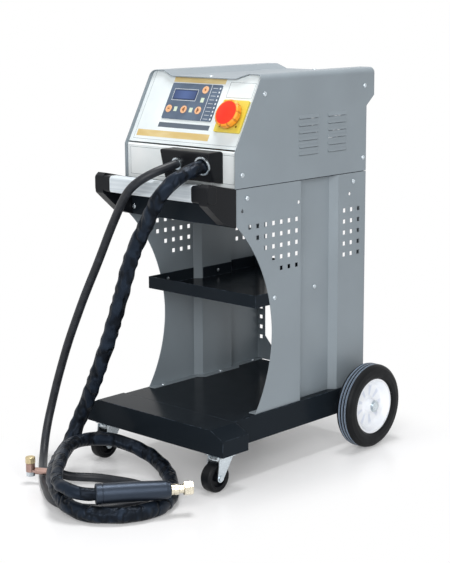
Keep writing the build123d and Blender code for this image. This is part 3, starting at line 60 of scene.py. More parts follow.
class Wire:
    """An output socket in a tree of nodes. Arithmetic on it adds Math nodes."""

    def __init__(self, tree, socket=None):
        self.tree = tree
        self.socket = socket

    def node(self, kind, settings, sockets, out=0):
        """Add a node: its settings first, then the values or links of its sockets."""
        made = self.tree.nodes.new(kind)
        for name, value in settings.items():
            setattr(made, name, value)
        for name, value in sockets.items():
            if isinstance(value, Wire):
                self.tree.links.new(value.socket, made.inputs[name])
            else:
                made.inputs[name].default_value = value
        return Wire(self.tree, made.outputs[out])

    def math(self, operation, other=0.0):
        """A Math node on this value and another."""
        return self.node("ShaderNodeMath", {"operation": operation}, {0: self, 1: other})

    def __add__(self, other):
        return self.math("ADD", other)

    def __radd__(self, other):
        return self.math("ADD", other)

    def __sub__(self, other):
        return self.math("SUBTRACT", other)

    def __rsub__(self, other):
        return self.math("MULTIPLY", -1.0).math("ADD", other)

    def __mul__(self, other):
        return self.math("MULTIPLY", other)

    def __rmul__(self, other):
        return self.math("MULTIPLY", other)

    def hypot(self, other):
        """The length of a vector that has these two parts."""
        return (self * self + other * other).math("SQRT")

    def rise(self, low, high):
        """0 below low, 1 above high, smooth between."""
        sockets = {"Value": self, "From Min": low, "From Max": high}
        return self.node("ShaderNodeMapRange", {"interpolation_type": "SMOOTHSTEP"}, sockets)

    def within(self, low, high):
        """1 between low and high, and 0 elsewhere."""
        middle = (low + high) / 2
        reach = (high - low) / 2
        return self.node("ShaderNodeMath", {"operation": "COMPARE"}, {0: self, 1: middle, 2: reach})

    def mix(self, under, over):
        """The colour under where this is 0, and over where it is 1."""
        # The node's sockets for colours come after those for numbers and vectors, by the same names.
        return self.node("ShaderNodeMix", {"data_type": "RGBA"}, {0: self, 6: under, 7: over}, 2)

    def along(self, direction):
        """How far a point lies along a direction."""
        settings = {"operation": "DOT_PRODUCT"}
        return self.node("ShaderNodeVectorMath", settings, {0: self, 1: direction}, "Value")

    def grain(self, cells, detail=2.0, stretch=None):
        """Noise on these coordinates, with so many cells to a metre times the stretch of each axis."""
        placed = self
        if stretch:
            placed = self.node("ShaderNodeMapping", {}, {"Vector": self, "Scale": stretch})
        return self.node("ShaderNodeTexNoise", {}, {"Vector": placed, "Scale": cells, "Detail": detail})

    def bump(self, height, strength, normal=None):
        """A surface normal raised by this height in metres, over another normal if one is given."""
        sockets = {"Strength": strength, "Distance": height, "Height": self}
        if normal:
            sockets["Normal"] = normal
        return self.node("ShaderNodeBump", {}, sockets)


class Finish:
    """A new material, its shader and the wire of its Object coordinates."""

    def __init__(self, name, **sockets):
        self.material = bpy.data.materials.new(name)
        self.material.use_nodes = True
        self.tree = self.material.node_tree
        self.shader = self.tree.nodes["Principled BSDF"]
        self.place = Wire(self.tree).node("ShaderNodeTexCoord", {}, {}, "Object")
        for socket, value in sockets.items():
            self.set(socket.replace("_", " "), value)

    def set(self, socket, value):
        """Set or link one socket of the shader."""
        if isinstance(value, Wire):
            self.tree.links.new(value.socket, self.shader.inputs[socket])
        else:
            self.shader.inputs[socket].default_value = value

    def roughen(self, cells, smooth, rough):
        """Let the roughness drift between two values, with so many cells of noise to a metre."""
        self.set("Roughness", self.place.grain(cells).rise(0, 1) * (rough - smooth) + smooth)

    def eased(self, radius):
        """The normal of the surface with its edges rounded by this radius."""
        return self.place.node("ShaderNodeBevel", {"samples": 4}, {"Radius": radius})

    def edges(self, eased):
        """1 along the edges that are rounded so, and 0 on flat faces."""
        true = self.place.node("ShaderNodeNewGeometry", {}, {}, "True Normal")
        return (1 - eased.along(true)).rise(0.02, 0.25)


def powder_coat(name, color, edge_color, fold, roughness, peel, shine):
    """Sprayed and baked powder on steel, paler in patches along folds of this radius."""
    coat = Finish(name, Specular_IOR_Level=shine)
    eased = coat.eased(fold)
    shade = coat.place.grain(6, 3).rise(0.3, 0.7).mix(tint(color), tint(color, 1.09))
    pale_folds = coat.edges(eased) * coat.place.grain(90).rise(0.35, 0.75)
    coat.set("Base Color", (pale_folds * 0.55).mix(shade, tint(edge_color)))
    coat.roughen(25, roughness - 0.06, roughness + 0.06)
    coat.set("Normal", coat.place.grain(1100, 1).bump(peel, 0.35, eased))
    return coat.material


def dress(material, *nodes):
    """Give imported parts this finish."""
    for name in nodes:
        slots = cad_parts[name].data.materials
        slots.clear()
        slots.append(material)


satin_black = powder_coat(
    "satin black powder coat", color="1d2329", edge_color="8292a6",
    fold=0.0022, roughness=0.21, peel=0.00004, shine=0.035,
)
dress(satin_black, "base_deck", "front_beam")


# Rear axle with its bushes, washers and end caps. Turned steel, zinc plated, so that it
# is bright with fine turning marks and a slightly cloudy shine.
def plated(name, color, roughness, marks):
    """Plated or bare metal with a cloudy shine and fine marks of this depth."""
    metal = Finish(name, Metallic=1.0)
    cloud = metal.place.grain(140, 4).rise(0.25, 0.75)
    metal.set("Base Color", cloud.mix(tint(color, 0.86), tint(color)))
    metal.set("Roughness", metal.place.grain(420).rise(0.2, 0.8) * 0.16 + (roughness - 0.08))
    metal.set("Normal", metal.place.grain(1600, 1).bump(marks, 0.3, metal.eased(0.0006)))
    return metal.material


zinc_plate = plated("zinc plate", color="d3dce2", roughness=0.3, marks=0.00008)
dress(zinc_plate, "rear_axle", "axle_fittings")

# Rear wheels. A white sprayed pressed disc with shallow ribs, painted in a bluish shade, and
# a solid tyre of black rubber, dusty, with pale lines of painted highlight along its tread's ridges.
DISC_RIBS = 9
RIB_DEPTH = 0.0012
RIBS_START = (0.020, 0.026)               # distances from the axle over which the ribs rise
RIBS_END = (0.042, 0.050)                 # and over which they fade
TREAD_RIDGES = ((0.0010, 0.0021), (0.0060, 0.0070), (0.0090, 0.0102))    # from the tyre's middle
TREAD_START = (0.0957, 0.0960)            # distances from the axle at which the tread begins


def middle_of(node):
    """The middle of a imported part's box."""
    low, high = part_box(node)
    return (low + high) / 2


def round_axle(finish, axle):
    """Wires of a point's distance from a sideways axle, and of its angle round it."""
    back = finish.place.along((0, 1, 0)) - axle.y
    up = finish.place.along((0, 0, 1)) - axle.z
    return back.hypot(up), back.math("ARCTAN2", up)


wheel = middle_of("right_tyre")
paint = Finish("white wheel paint", Specular_IOR_Level=0.5)
from_axle, angle = round_axle(paint, wheel)
rib = (angle * DISC_RIBS).math("SINE").rise(0.1, 0.9)
rib = rib * from_axle.rise(*RIBS_START) * (1 - from_axle.rise(*RIBS_END))
haze = paint.place.grain(30, 4).rise(0.3, 0.75)
shown = (haze * 0.5 + 0.5).mix(tint("eaeff7"), tint("f7f9fc"))
# The ribs are painted blue grey, a painted shade.
paint.set("Base Color", (rib * 0.4).mix(shown, tint("b4c0dc")))
paint.roughen(60, 0.26, 0.40)
paint.set("Normal", rib.bump(-RIB_DEPTH, 0.5, paint.eased(0.0012)))
dress(paint.material, "right_wheel_disc", "left_wheel_disc")

rubber = Finish("solid tyre rubber", Specular_IOR_Level=0.16)
dust = rubber.place.grain(35, 5).rise(0.45, 0.8)
shown = (dust * 0.5).mix(tint("0d0f12"), tint("1f2226"))
from_middle = (rubber.place.along((1, 0, 0)).math("ABSOLUTE") - wheel.x).math("ABSOLUTE")
# Pale lines along the edges of the tread's ridges are a painted highlight.
painted_highlight = sum(from_middle.within(*sides) for sides in TREAD_RIDGES)
painted_highlight = painted_highlight * round_axle(rubber, wheel)[0].rise(*TREAD_START)
rubber.set("Base Color", (painted_highlight * 0.8).mix(shown, tint("a0b1c6")))
rubber.roughen(60, 0.36, 0.56)
rubber.set("Normal", rubber.place.grain(900, 3).bump(0.0002, 0.4, rubber.eased(0.0008)))
dress(rubber.material, "right_tyre", "left_tyre", "right_caster_tyre", "left_caster_tyre")

# Front casters. Pressed and zinc plated plates and forks that swivel on a ball race, with
# moulded black wheels on riveted axles, bolted up under the front beam.
dress(zinc_plate, "right_caster_plate", "left_caster_plate", "right_caster_fork", "left_caster_fork")
dress(zinc_plate, "right_caster_axle", "left_caster_axle", "caster_bolts")


def moulding(name, color, roughness, grain_height, shine, sheen="ffffff"):
    """Moulded plastic with a fine spark-eroded grain, polished along its edges."""
    plastic = Finish(name, Specular_IOR_Level=shine, Specular_Tint=tint(sheen))
    eased = plastic.eased(0.0012)
    cloud = plastic.place.grain(18, 3).rise(0.3, 0.7)
    plastic.set("Base Color", cloud.mix(tint(color), tint(color, 1.18)))
    matt = plastic.place.grain(70).rise(0, 1) * 0.1 + (roughness - 0.05)
    plastic.set("Roughness", matt - plastic.edges(eased) * 0.12)
    plastic.set("Normal", plastic.place.grain(1900).bump(grain_height, 0.35, eased))
    return plastic.material


black_moulding = moulding(
    "black moulding", color="101216", roughness=0.36, grain_height=0.0001, shine=0.16,
)
dress(black_moulding, "right_caster_wheel", "left_caster_wheel")

# Side panels. Folded steel with a pressed channel and square punched holes, sprayed with a
# satin grey blue powder. The shelf tray between them and the pan above it are black.
grey_coat = powder_coat(
    "grey powder coat", color="838d94", edge_color="a9b3b9",
    fold=0.0012, roughness=0.42, peel=0.00012, shine=0.5,
)
dress(grey_coat, "right_side_panel", "left_side_panel")
dress(satin_black, "shelf_tray", "chassis_pan")

# Push handle. An extruded aluminium bar, brushed along its length, held by two moulded
# black brackets on the pan's front apron.
BRUSHED = (0.02, 1, 1)                    # draws the brush marks out along the bar
brushed = Finish("brushed aluminium", Metallic=0.45)
lines = brushed.place.grain(220, 3, BRUSHED)
brushed.set("Base Color", lines.rise(0.25, 0.75).mix(tint("c9d3da"), tint("e3eaef")))
brushed.set("Roughness", lines.rise(0.2, 0.8) * 0.14 + 0.36)
brushed.set("Normal", lines.bump(0.00008, 0.3, brushed.eased(0.0008)))
dress(brushed.material, "handle_bar")
dress(black_moulding, "right_handle_bracket", "left_handle_bracket")

# Transformer core. Stacked steel laminations, half a millimetre thick, varnished and
# clamped on the pan.
LAMINATION = 0.0005
steel = Finish("core laminations", Metallic=0.75, Roughness=0.5)
layers = steel.place.along((0, 1 / LAMINATION, 0)).math("PINGPONG", 0.5)
steel.set("Base Color", layers.rise(0.1, 0.4).mix(tint("3c4046"), tint("767c82")))
steel.set("Normal", layers.bump(0.0001, 0.5))
dress(steel.material, "transformer_core")

# Transformer windings. Enamelled copper strip wound on edge round the core's middle leg,
# one turn above the other, over a rounded inner layer.
COIL_TURNS = 11
COIL_CORNER = 0.022
STRIP_SHARE = 0.46                        # the strip's radius, as a share of the coil's pitch
LAYER_GAP = 0.001                         # from the inner layer's ends to the coil's
LEG_SPACE = (0.052, 0.072, 0.2)           # size of the core's leg with the room round it
SMOOTH_ANGLE = math.radians(35)
coil_low, coil_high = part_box("transformer_windings")
coil_middle = middle_of("transformer_windings")
coil_height = coil_high.z - coil_low.z
coil_pitch = coil_height / (COIL_TURNS + 1)
strip_r = coil_pitch * STRIP_SHARE
coil_x = (coil_high.x - coil_low.x) / 2 - strip_r
coil_y = (coil_high.y - coil_low.y) / 2 - strip_r


def nurbs_line(name, places, resolution):
    """A smooth line with these control points, from the first to the last."""
    bpy.ops.curve.primitive_nurbs_path_add(location=(0, 0, 0))
    line = bpy.context.object
    line.name = name
    line.data.splines.clear()
    spline = line.data.splines.new("NURBS")
    spline.points.add(len(places) - 1)
    for point, place in zip(spline.points, places):
        point.co = (*place, 1)
    spline.order_u = 3
    spline.use_endpoint_u = True
    line.data.resolution_u = resolution
    return line


def thicken(line, radius, roundness):
    """Make a line a round tube with closed ends."""
    line.data.bevel_depth = radius
    line.data.bevel_resolution = roundness
    line.data.use_fill_caps = True


def block(middle, size):
    """A box of this size, to be shaped further or to cut with."""
    bpy.ops.mesh.primitive_cube_add(size=1, location=middle)
    made = bpy.context.object
    made.scale = size
    bpy.ops.object.transform_apply(location=True, rotation=True, scale=True)
    return made


def cut_away(piece, cutter):
    """Take the cutter's shape out of a piece, and the cutter out of the scene."""
    cut = piece.modifiers.new("cut", "BOOLEAN")
    cut.object = cutter
    bpy.context.view_layer.objects.active = piece
    bpy.ops.object.modifier_apply(modifier=cut.name)
    bpy.data.objects.remove(cutter)


def joined(name, pieces):
    """One object of several pieces, shaded smooth apart from its sharp edges."""
    bpy.ops.object.select_all(action="DESELECT")
    for piece in pieces:
        piece.select_set(True)
    bpy.context.view_layer.objects.active = pieces[0]
    bpy.ops.object.join()
    bpy.ops.object.transform_apply(location=True, rotation=True, scale=True)
    bpy.ops.object.shade_smooth_by_angle(angle=SMOOTH_ANGLE)
    whole = bpy.context.object
    whole.name = name
    return whole


def instead_of(node, piece, material):
    """Finish a new piece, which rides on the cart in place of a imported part."""
    piece.data.materials.clear()
    piece.data.materials.append(material)
    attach(piece, "cart")
    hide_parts(node)


# Each corner of a turn has two points: its side in X and Y, and which of the two is drawn in.
corner_points = [
    (1, -1, 1, 0), (1, -1, 0, 1), (1, 1, 0, 1), (1, 1, 1, 0),
    (-1, 1, 1, 0), (-1, 1, 0, 1), (-1, -1, 0, 1), (-1, -1, 1, 0),
]
wound = []
for turn in range(COIL_TURNS):
    for step, (side, end, drawn_x, drawn_y) in enumerate(corner_points):
        x = side * (coil_x - COIL_CORNER / 2 * drawn_x)
        y = end * (coil_y - COIL_CORNER / 2 * drawn_y)
        z = coil_low.z + strip_r + coil_pitch * (turn + step / len(corner_points))
        wound.append((coil_middle.x + x, coil_middle.y + y, z))
strip = nurbs_line("winding_turns", wound, 4)
thicken(strip, strip_r, 3)
bpy.ops.object.convert(target="MESH")

inner_layer = block(coil_middle, (2 * coil_x, 2 * coil_y, coil_height - 2 * LAYER_GAP))
bpy.ops.object.mode_set(mode="EDIT")
bpy.ops.mesh.select_all(action="SELECT")
bpy.ops.mesh.bevel(offset=COIL_CORNER, segments=6)
bpy.ops.object.mode_set(mode="OBJECT")
cut_away(inner_layer, block(coil_middle, LEG_SPACE))
windings = joined("winding_strip", [inner_layer, strip])

enamel = Finish("copper strip enamel", Metallic=0.8)
streak = enamel.place.grain(60, 3, (1, 1, 3))
enamel.set("Base Color", streak.rise(0.3, 0.7).mix(tint("8a4a22"), tint("b06a35")))
enamel.set("Roughness", streak.rise(0.2, 0.8) * 0.12 + 0.28)
instead_of("transformer_windings", windings, enamel.material)

# Busbars, thyristors and board. Drawn copper bars from the windings to the sockets, an
# extruded aluminium heat sink, and a green circuit board behind the keys.
copper = plated("drawn copper", color="b0938a", roughness=0.42, marks=0.00006)
dress(copper, "busbars")
sink_metal = plated("extruded aluminium", color="b4bbc0", roughness=0.42, marks=0.0001)
dress(sink_metal, "thyristor_block")
board = Finish("circuit board", Roughness=0.4)
tracks = board.place.grain(260, 0).rise(0.48, 0.5)
board.set("Base Color", tracks.mix(tint("1d5a36"), tint("2b7247")))
board.set("Normal", tracks.bump(0.00004, 0.4))
dress(board.material, "control_board")

# Rear panel. A folded steel panel in the same grey, which closes the power unit behind, with
# an axial fan of black moulding and its guard of plated wire.
dress(grey_coat, "rear_panel")
dress(black_moulding, "fan_frame", "fan_rotor")
dress(zinc_plate, "fan_grille")

# Sloping control panel. White coated steel under a printed film: pale gold bands, a dark
# strip under the keypad, a thin border and an empty frame above the stop. A printed
# rectangle is given by its left, right, low and high sides, in metres across and up the panel.
PANEL_ORIGIN = Vector((0, -0.18896, 0.70920))
PANEL_UP = Vector((0, 0.47550, 0.87972))
GOLD_BANDS = ((-0.091, 0.065, 0.156, 0.168), (-0.149, 0.0705, 0.0236, 0.0390))
DARK_STRIP = (-0.092, 0.062, 0.0476, 0.0592)
EMPTY_FRAME = (0.079, 0.152, 0.126, 0.162)
PANEL_BORDER = (-0.155, 0.156, 0.0165, 0.2)
PRINT_LINE = 0.0008
PRINT_GREY = "7a848b"


def on_panel(finish):
    """Wires of a point's place across the sloping panel, and up it."""
    return finish.place.along((1, 0, 0)), finish.place.along(PANEL_UP) - PANEL_ORIGIN.dot(PANEL_UP)


def printed(across, up, sides):
    """1 in a printed rectangle."""
    left, right, low, high = sides
    return across.within(left, right) * up.within(low, high)


def outlined(across, up, sides, line=PRINT_LINE):
    """1 on the outline of a rectangle, which lies inside its sides."""
    left, right, low, high = sides
    inside = (left + line, right - line, low + line, high - line)
    return printed(across, up, sides) - printed(across, up, inside)


def white_film(name, dull, clean):
    """Clear film over white coated steel, and its colour, still without print."""
    film = Finish(name, Specular_IOR_Level=0.4)
    film.roughen(50, 0.3, 0.4)
    film.set("Normal", film.place.grain(1300, 1).bump(0.00005, 0.25, film.eased(0.0006)))
    return film, film.place.grain(14, 4).rise(0.35, 0.75).mix(tint(dull), tint(clean))


film, shown = white_film("printed panel film", dull="e0e8ea", clean="ecf3f4")
across, up = on_panel(film)
gold = film.place.grain(40, 4, (0.3, 1, 1)).rise(0.3, 0.7).mix(tint("d0b576"), tint("decb98"))
shown = sum(printed(across, up, band) for band in GOLD_BANDS).mix(shown, gold)
shown = printed(across, up, DARK_STRIP).mix(shown, tint("59636f"))
lines = outlined(across, up, EMPTY_FRAME) + outlined(across, up, PANEL_BORDER)
film.set("Base Color", lines.mix(shown, tint(PRINT_GREY)))
dress(film.material, "control_panel")

# Keypad. A slate membrane on the panel, printed with a thin white frame round the display,
# pale squares beside the keys, a white rule and a column of lamps with ticks.
DISPLAY_FRAME = (-0.0775, -0.0045, 0.1122, 0.1396)
WHITE_RULE = (0.0304, 0.0316, 0.0680, 0.1530)
LAMP_COLUMN = (0.0553, 0.0590, 0.068, 0.150)
TICK_COLUMN = (0.0360, 0.0500, 0.068, 0.150)
LAMP_FIRST = 0.0727
LAMP_STEP = 0.009
LAMP_REACH = 0.22                         # half the height of a lamp, as a share of the step
TICK_REACH = 0.08                         # and that of its tick
PALE_SQUARES = ((-0.0552, 0.0916), (-0.0084, 0.0912), (0.0156, 0.1157))
SQUARE_REACH = (0.0048, 0.0055)


def around(point, reach):
    """The sides of a rectangle that reaches so far from a point, across and up."""
    return point[0] - reach[0], point[0] + reach[0], point[1] - reach[1], point[1] + reach[1]


membrane = Finish("slate membrane", Specular_IOR_Level=0.4)
across, up = on_panel(membrane)
slate = membrane.place.grain(30, 3).rise(0.3, 0.7).mix(tint("4f5d70"), tint("5c6c80"))
white_print = outlined(across, up, DISPLAY_FRAME) + printed(across, up, WHITE_RULE)
from_lamp = ((up - LAMP_FIRST) * (1 / LAMP_STEP) + 0.5).math("FRACT") - 0.5
lamps = from_lamp.within(-LAMP_REACH, LAMP_REACH) * printed(across, up, LAMP_COLUMN)
ticks = from_lamp.within(-TICK_REACH, TICK_REACH) * printed(across, up, TICK_COLUMN)
shown = (white_print + lamps + ticks * 0.6).mix(slate, tint("e3e9ee"))
squares = sum(printed(across, up, around(point, SQUARE_REACH)) for point in PALE_SQUARES)
membrane.set("Base Color", squares.mix(shown, tint("cfdcc6")))
membrane.roughen(80, 0.4, 0.5)
membrane.set("Normal", membrane.place.grain(1500, 1).bump(0.00004, 0.3, membrane.eased(0.0005)))
dress(membrane.material, "keypad")

# Display window. Clear acrylic set in the keypad over a blue backlit display, which is blank
# at rest, brighter in its middle and dark along its edge.
DISPLAY = (-0.0752, -0.0068, 0.1147, 0.1371)
DISPLAY_EDGE = 0.0022
GLOW_REACH = 0.04
display = Finish("display window", Roughness=0.14, Specular_IOR_Level=0.35)
across, up = on_panel(display)
# The backlight's glow is painted into the colour, brightest across the middle.
dimmed = (across - (DISPLAY[0] + DISPLAY[1]) / 2).math("ABSOLUTE").rise(0, GLOW_REACH)
shown = dimmed.mix(tint("4b6090"), tint("384a73"))
edge = outlined(across, up, DISPLAY, DISPLAY_EDGE)
display.set("Base Color", (edge * 0.7).mix(shown, tint("26324f")))
dress(display.material, "lcd_window")

# Keys. Domed peach plastic buttons with a paler ring, printed with plain dark arrows, a dot
# and a bar.
MODE_KEY = (-0.076, 0.0915)
MINUS_KEY = (-0.0305, 0.0915)
PLUS_KEY = (0.013, 0.0915)
SET_KEY = (0.015, 0.140)
KEY_RING = (0.0066, 0.0078)               # distances from the key's middle
ARROW_TIP = 0.004
ARROW_BASE = 0.003
BAR_REACH = (0.003, 0.0013)
DOT_R = 0.0023
DOT_BLUR = 0.0001
ARROW_BLUR = 0.0002


def from_point(across, up, point):
    """Wire of the distance from a point of the panel."""
    return (across - point[0]).hypot(up - point[1])


def spot(across, up, point, radius, blur):
    """1 in a round spot, whose edge is blurred by so much either way."""
    return 1 - from_point(across, up, point).rise(radius - blur, radius + blur)


def arrow(across, up, point, way):
    """1 in an arrow head, which points to the right if way is 1 and to the left if it is -1."""
    ahead = (across - point[0]) * way
    half_width = (up - point[1]).math("ABSOLUTE")
    tapered = (ARROW_TIP - ahead - half_width).rise(0, ARROW_BLUR)
    return ahead.within(-ARROW_BASE, ARROW_TIP) * tapered


peach = Finish("key plastic", Specular_IOR_Level=0.45)
across, up = on_panel(peach)
shown = peach.place.grain(160, 3).rise(0.35, 0.75).mix(tint("e0a26e"), tint("edbb90"))
keys = (MODE_KEY, MINUS_KEY, PLUS_KEY, SET_KEY)
rings = sum(from_point(across, up, key).within(*KEY_RING) for key in keys)
shown = (rings * 0.6).mix(shown, tint("f6dcc4"))
arrows = arrow(across, up, MINUS_KEY, -1) + arrow(across, up, PLUS_KEY, 1)
bar = printed(across, up, around(MODE_KEY, BAR_REACH))
dot = spot(across, up, SET_KEY, DOT_R, DOT_BLUR)
peach.set("Base Color", (arrows + bar + dot).mix(shown, tint("7a4a33")))
peach.roughen(300, 0.34, 0.46)
peach.set("Normal", peach.place.grain(900).bump(0.00005, 0.3, peach.eased(0.0005)))
dress(peach.material, "mode_key", "minus_key", "plus_key", "set_key")

# Emergency stop. A yellow moulded plate with two dark sunk spots, a black plunger and
# contact block, and a red mushroom cap that is pushed in and twisted out by its amber rim.
STOP_MIDDLE = (0.117, 0.083)
DARK_SPOT_OFFSET = 0.023                            # from the stop's middle to the dark spots, aside and down
DARK_SPOT_R = 0.0026
DARK_SPOT_BLUR = 0.0002
DARK_SPOT_DEPTH = 0.0006
CAP_FACE_R = 0.0266
CAP_FACE_BLUR = 0.0003
CAP_GRIPS = 10
GRIP_DEPTH = 0.0008
plate = Finish("yellow moulding", Specular_IOR_Level=0.4)
across, up = on_panel(plate)
dark_spots = [(STOP_MIDDLE[0] + aside, STOP_MIDDLE[1] - DARK_SPOT_OFFSET) for aside in (DARK_SPOT_OFFSET, -DARK_SPOT_OFFSET)]
sunk = sum(spot(across, up, dark_spot, DARK_SPOT_R, DARK_SPOT_BLUR) for dark_spot in dark_spots)
yellow = plate.place.grain(25, 3).rise(0.3, 0.7).mix(tint("dec847"), tint("e4d366"))
plate.set("Base Color", sunk.mix(yellow, tint("6e5a14")))
plate.roughen(90, 0.36, 0.46)
plate.set("Normal", (1 - sunk).bump(DARK_SPOT_DEPTH, 0.5, plate.eased(0.0012)))
dress(plate.material, "stop_plate")

cap = Finish("red moulding", Specular_IOR_Level=0.35)
across, up = on_panel(cap)
rim = 1 - spot(across, up, STOP_MIDDLE, CAP_FACE_R, CAP_FACE_BLUR)
angle = (across - STOP_MIDDLE[0]).math("ARCTAN2", up - STOP_MIDDLE[1])
grip = (angle * CAP_GRIPS).math("SINE").rise(0.6, 0.9)
# The grips are sunk into the rim and painted darker, a painted shade in them.
amber = grip.mix(tint("f7a02c"), tint("cf7d1e"))
red = cap.place.grain(30, 3).rise(0.3, 0.7).mix(tint("ee2f18"), tint("f33a20"))
cap.set("Base Color", rim.mix(red, amber))
cap.roughen(120, 0.34, 0.44)
cap.set("Normal", (1 - rim * grip).bump(GRIP_DEPTH, 0.6, cap.eased(0.0010)))
dress(cap.material, "stop_cap")
dress(black_moulding, "stop_plunger", "stop_contacts")

# Lower front panel and cable outlet. The panel is of the same white film on steel, and the
# box that the cables leave by is a black moulding with plated rings in its face. The gland
# of the mains lead, in the rear panel, is plated as they are.
LOWER_BORDER = (-0.157, 0.157, 0.645, 0.706)
film, shown = white_film("lower panel film", dull="f0f6f7", clean="fafdfd")
border = outlined(film.place.along((1, 0, 0)), film.place.along((0, 0, 1)), LOWER_BORDER)
film.set("Base Color", border.mix(shown, tint(PRINT_GREY)))
dress(film.material, "lower_front_panel")
dress(black_moulding, "cable_outlet")
dress(zinc_plate, "cable_glands")

# Hood. One sheet of steel, folded down on both sides of the power unit and pressed with
# louvres, in the grey of the side panels.
dress(grey_coat, "hood")

# Screws. Plated pan heads with a cross recess, which hold the hood and the cabinet's panels,
# and hexagon nuts on those that hold the shelf.
SCREW_R = 0.0052
SCREW_HEAD = 0.0026
HEAD_ROUND = 0.0019
RECESS = (0.0052, 0.0012, 0.0028)         # length, width and twice the depth of a slot
SHANK_R = 0.002
SHANK = 0.007
NUT_R = 0.0042
NUT_LOW = -0.0062
NUT_HIGH = -0.0034
NUT_EDGE = 0.0004
SIDE_X = 0.167                            # outer faces of the side panels, and of their channels
CHANNEL_X = 0.152
HOOD_TOP_Z = 0.860
HOOD_TOP_SCREWS = (-0.091, 0.259)         # along Y
HOOD_SIDE_SCREWS = ((-0.1034, 0.830), (0.237, 0.831), (-0.174, 0.665), (0.233, 0.668))    # Y and Z
CABINET_SIDE_SCREWS = ((-0.1593, 0.615), (0.199, 0.616))
APRON_SCREWS = ((-0.140, -0.196, 0.573), (0.140, -0.196, 0.573))
FLANGE_Z = 0.1395
FLANGE_SCREWS = ((0.156, -0.099), (0.141, 0.081), (0.156, 0.213))         # X and Y
SHELF_Z = 0.388
SHELF_SCREWS = ((SIDE_X, -0.072), (CHANNEL_X, 0.081))
UPWARD = (0, 0, 1)
FORWARD = (0, -1, 0)


def rod(sides, radius, low, high):
    """A cylinder or prism on the Z axis between two heights, to be shaped further."""
    bpy.ops.mesh.primitive_cylinder_add(
        vertices=sides, radius=radius, depth=high - low, location=(0, 0, (low + high) / 2),
    )
    bpy.ops.object.transform_apply(location=True, rotation=True, scale=True)
    return bpy.context.object


def faces_where(piece, wanted):
    """Select in edit mode the faces whose normal suits."""
    bpy.ops.object.mode_set(mode="EDIT")
    bpy.ops.mesh.select_mode(type="FACE")
    bpy.ops.mesh.select_all(action="DESELECT")
    bpy.ops.object.mode_set(mode="OBJECT")
    for face in piece.data.polygons:
        face.select = wanted(face.normal)
    bpy.ops.object.mode_set(mode="EDIT")


head = rod(32, SCREW_R, 0, SCREW_HEAD)
faces_where(head, lambda normal: normal.z > 0.9)
bpy.ops.mesh.bevel(offset=HEAD_ROUND, segments=4)
bpy.ops.object.mode_set(mode="OBJECT")
recess = block((0, 0, SCREW_HEAD), RECESS)
bpy.ops.object.duplicate()
crossing = bpy.context.object
crossing.rotation_euler.z = math.radians(90)
bpy.ops.object.transform_apply(location=False, rotation=True, scale=False)
cut_away(head, recess)
cut_away(head, crossing)
faces_where(head, lambda normal: normal.z < -0.9)
bpy.ops.mesh.inset(thickness=SCREW_R - SHANK_R)
bpy.ops.mesh.extrude_region_move(TRANSFORM_OT_translate={"value": (0, 0, -SHANK)})
bpy.ops.object.mode_set(mode="OBJECT")

nut = rod(6, NUT_R, NUT_LOW, NUT_HIGH)
faces_where(nut, lambda normal: abs(normal.z) > 0.9)
bpy.ops.mesh.bevel(offset=NUT_EDGE, segments=2)
bpy.ops.object.mode_set(mode="OBJECT")


def screwed(name, pattern, places, node):
    """Copies of one fastener at these places, each with the way that its head faces."""
    copies = []
    for place, facing in places:
        copy = pattern.copy()
        copy.data = pattern.data.copy()
        bpy.context.collection.objects.link(copy)
        turned = Vector(facing).to_track_quat("Z", "Y").to_matrix().to_4x4()
        copy.matrix_world = Matrix.Translation(place) @ turned
        copies.append(copy)
    instead_of(node, joined(name, copies), zinc_plate)


hood_places = [((0, y, HOOD_TOP_Z), UPWARD) for y in HOOD_TOP_SCREWS]
cabinet_places = [(place, FORWARD) for place in APRON_SCREWS]
shelf_places = []
for side in (1, -1):
    outward = (side, 0, 0)
    for y, z in HOOD_SIDE_SCREWS:
        hood_places.append(((side * SIDE_X, y, z), outward))
    for y, z in CABINET_SIDE_SCREWS:
        cabinet_places.append(((side * SIDE_X, y, z), outward))
    for x, y in FLANGE_SCREWS:
        cabinet_places.append(((side * x, y, FLANGE_Z), UPWARD))
    for x, y in SHELF_SCREWS:
        shelf_places.append(((side * x, y, SHELF_Z), outward))
screwed("hood_pan_screws", head, hood_places, "hood_screws")
screwed("cabinet_pan_screws", head, cabinet_places + shelf_places, "cabinet_screws")
screwed("shelf_nuts", nut, shelf_places, "cabinet_screws")
bpy.data.objects.remove(head)
bpy.data.objects.remove(nut)

# Welding gun. A turned handle with a satin black coat, which shines cold, and a brass chuck
# and nut on its end, which hold the pulling tool.
COLD_SHEEN = "b4c8e6"
handle_coat = moulding(
    "satin handle coat", color="0b0f15", roughness=0.41, grain_height=0.00003, shine=0.9,
    sheen=COLD_SHEEN,
)
dress(handle_coat, "gun_handle")
brass = plated("turned brass", color="e8e0cc", roughness=0.26, marks=0.00008)
dress(brass, "gun_chuck", "chuck_nut")

# Earth lug. A copper lug on the thin cable with a plated bolt through it, and a knurled
# brass knob that turns on the bolt.
KNURLS = 28
KNURL_DEPTH = 0.0006
KNURL_START = (0.0098, 0.0104)            # distances from the knob's axis at which they begin
dress(copper, "earth_lug")
dress(zinc_plate, "earth_bolt")
knob = Finish("knurled brass", Metallic=1.0, Roughness=0.32)
knob_middle = middle_of("earth_knob")
aside = knob.place.along((1, 0, 0)) - knob_middle.x
ahead = knob.place.along((0, 1, 0)) - knob_middle.y
ridges = (aside.math("ARCTAN2", ahead) * KNURLS).math("SINE").rise(-0.4, 0.4)
ridges = ridges * aside.hypot(ahead).rise(*KNURL_START)
knob.set("Base Color", ridges.mix(tint("cbb88c"), tint("e4d6b2")))
knob.set("Normal", ridges.bump(KNURL_DEPTH, 0.7, knob.eased(0.0006)))
dress(knob.material, "earth_knob")

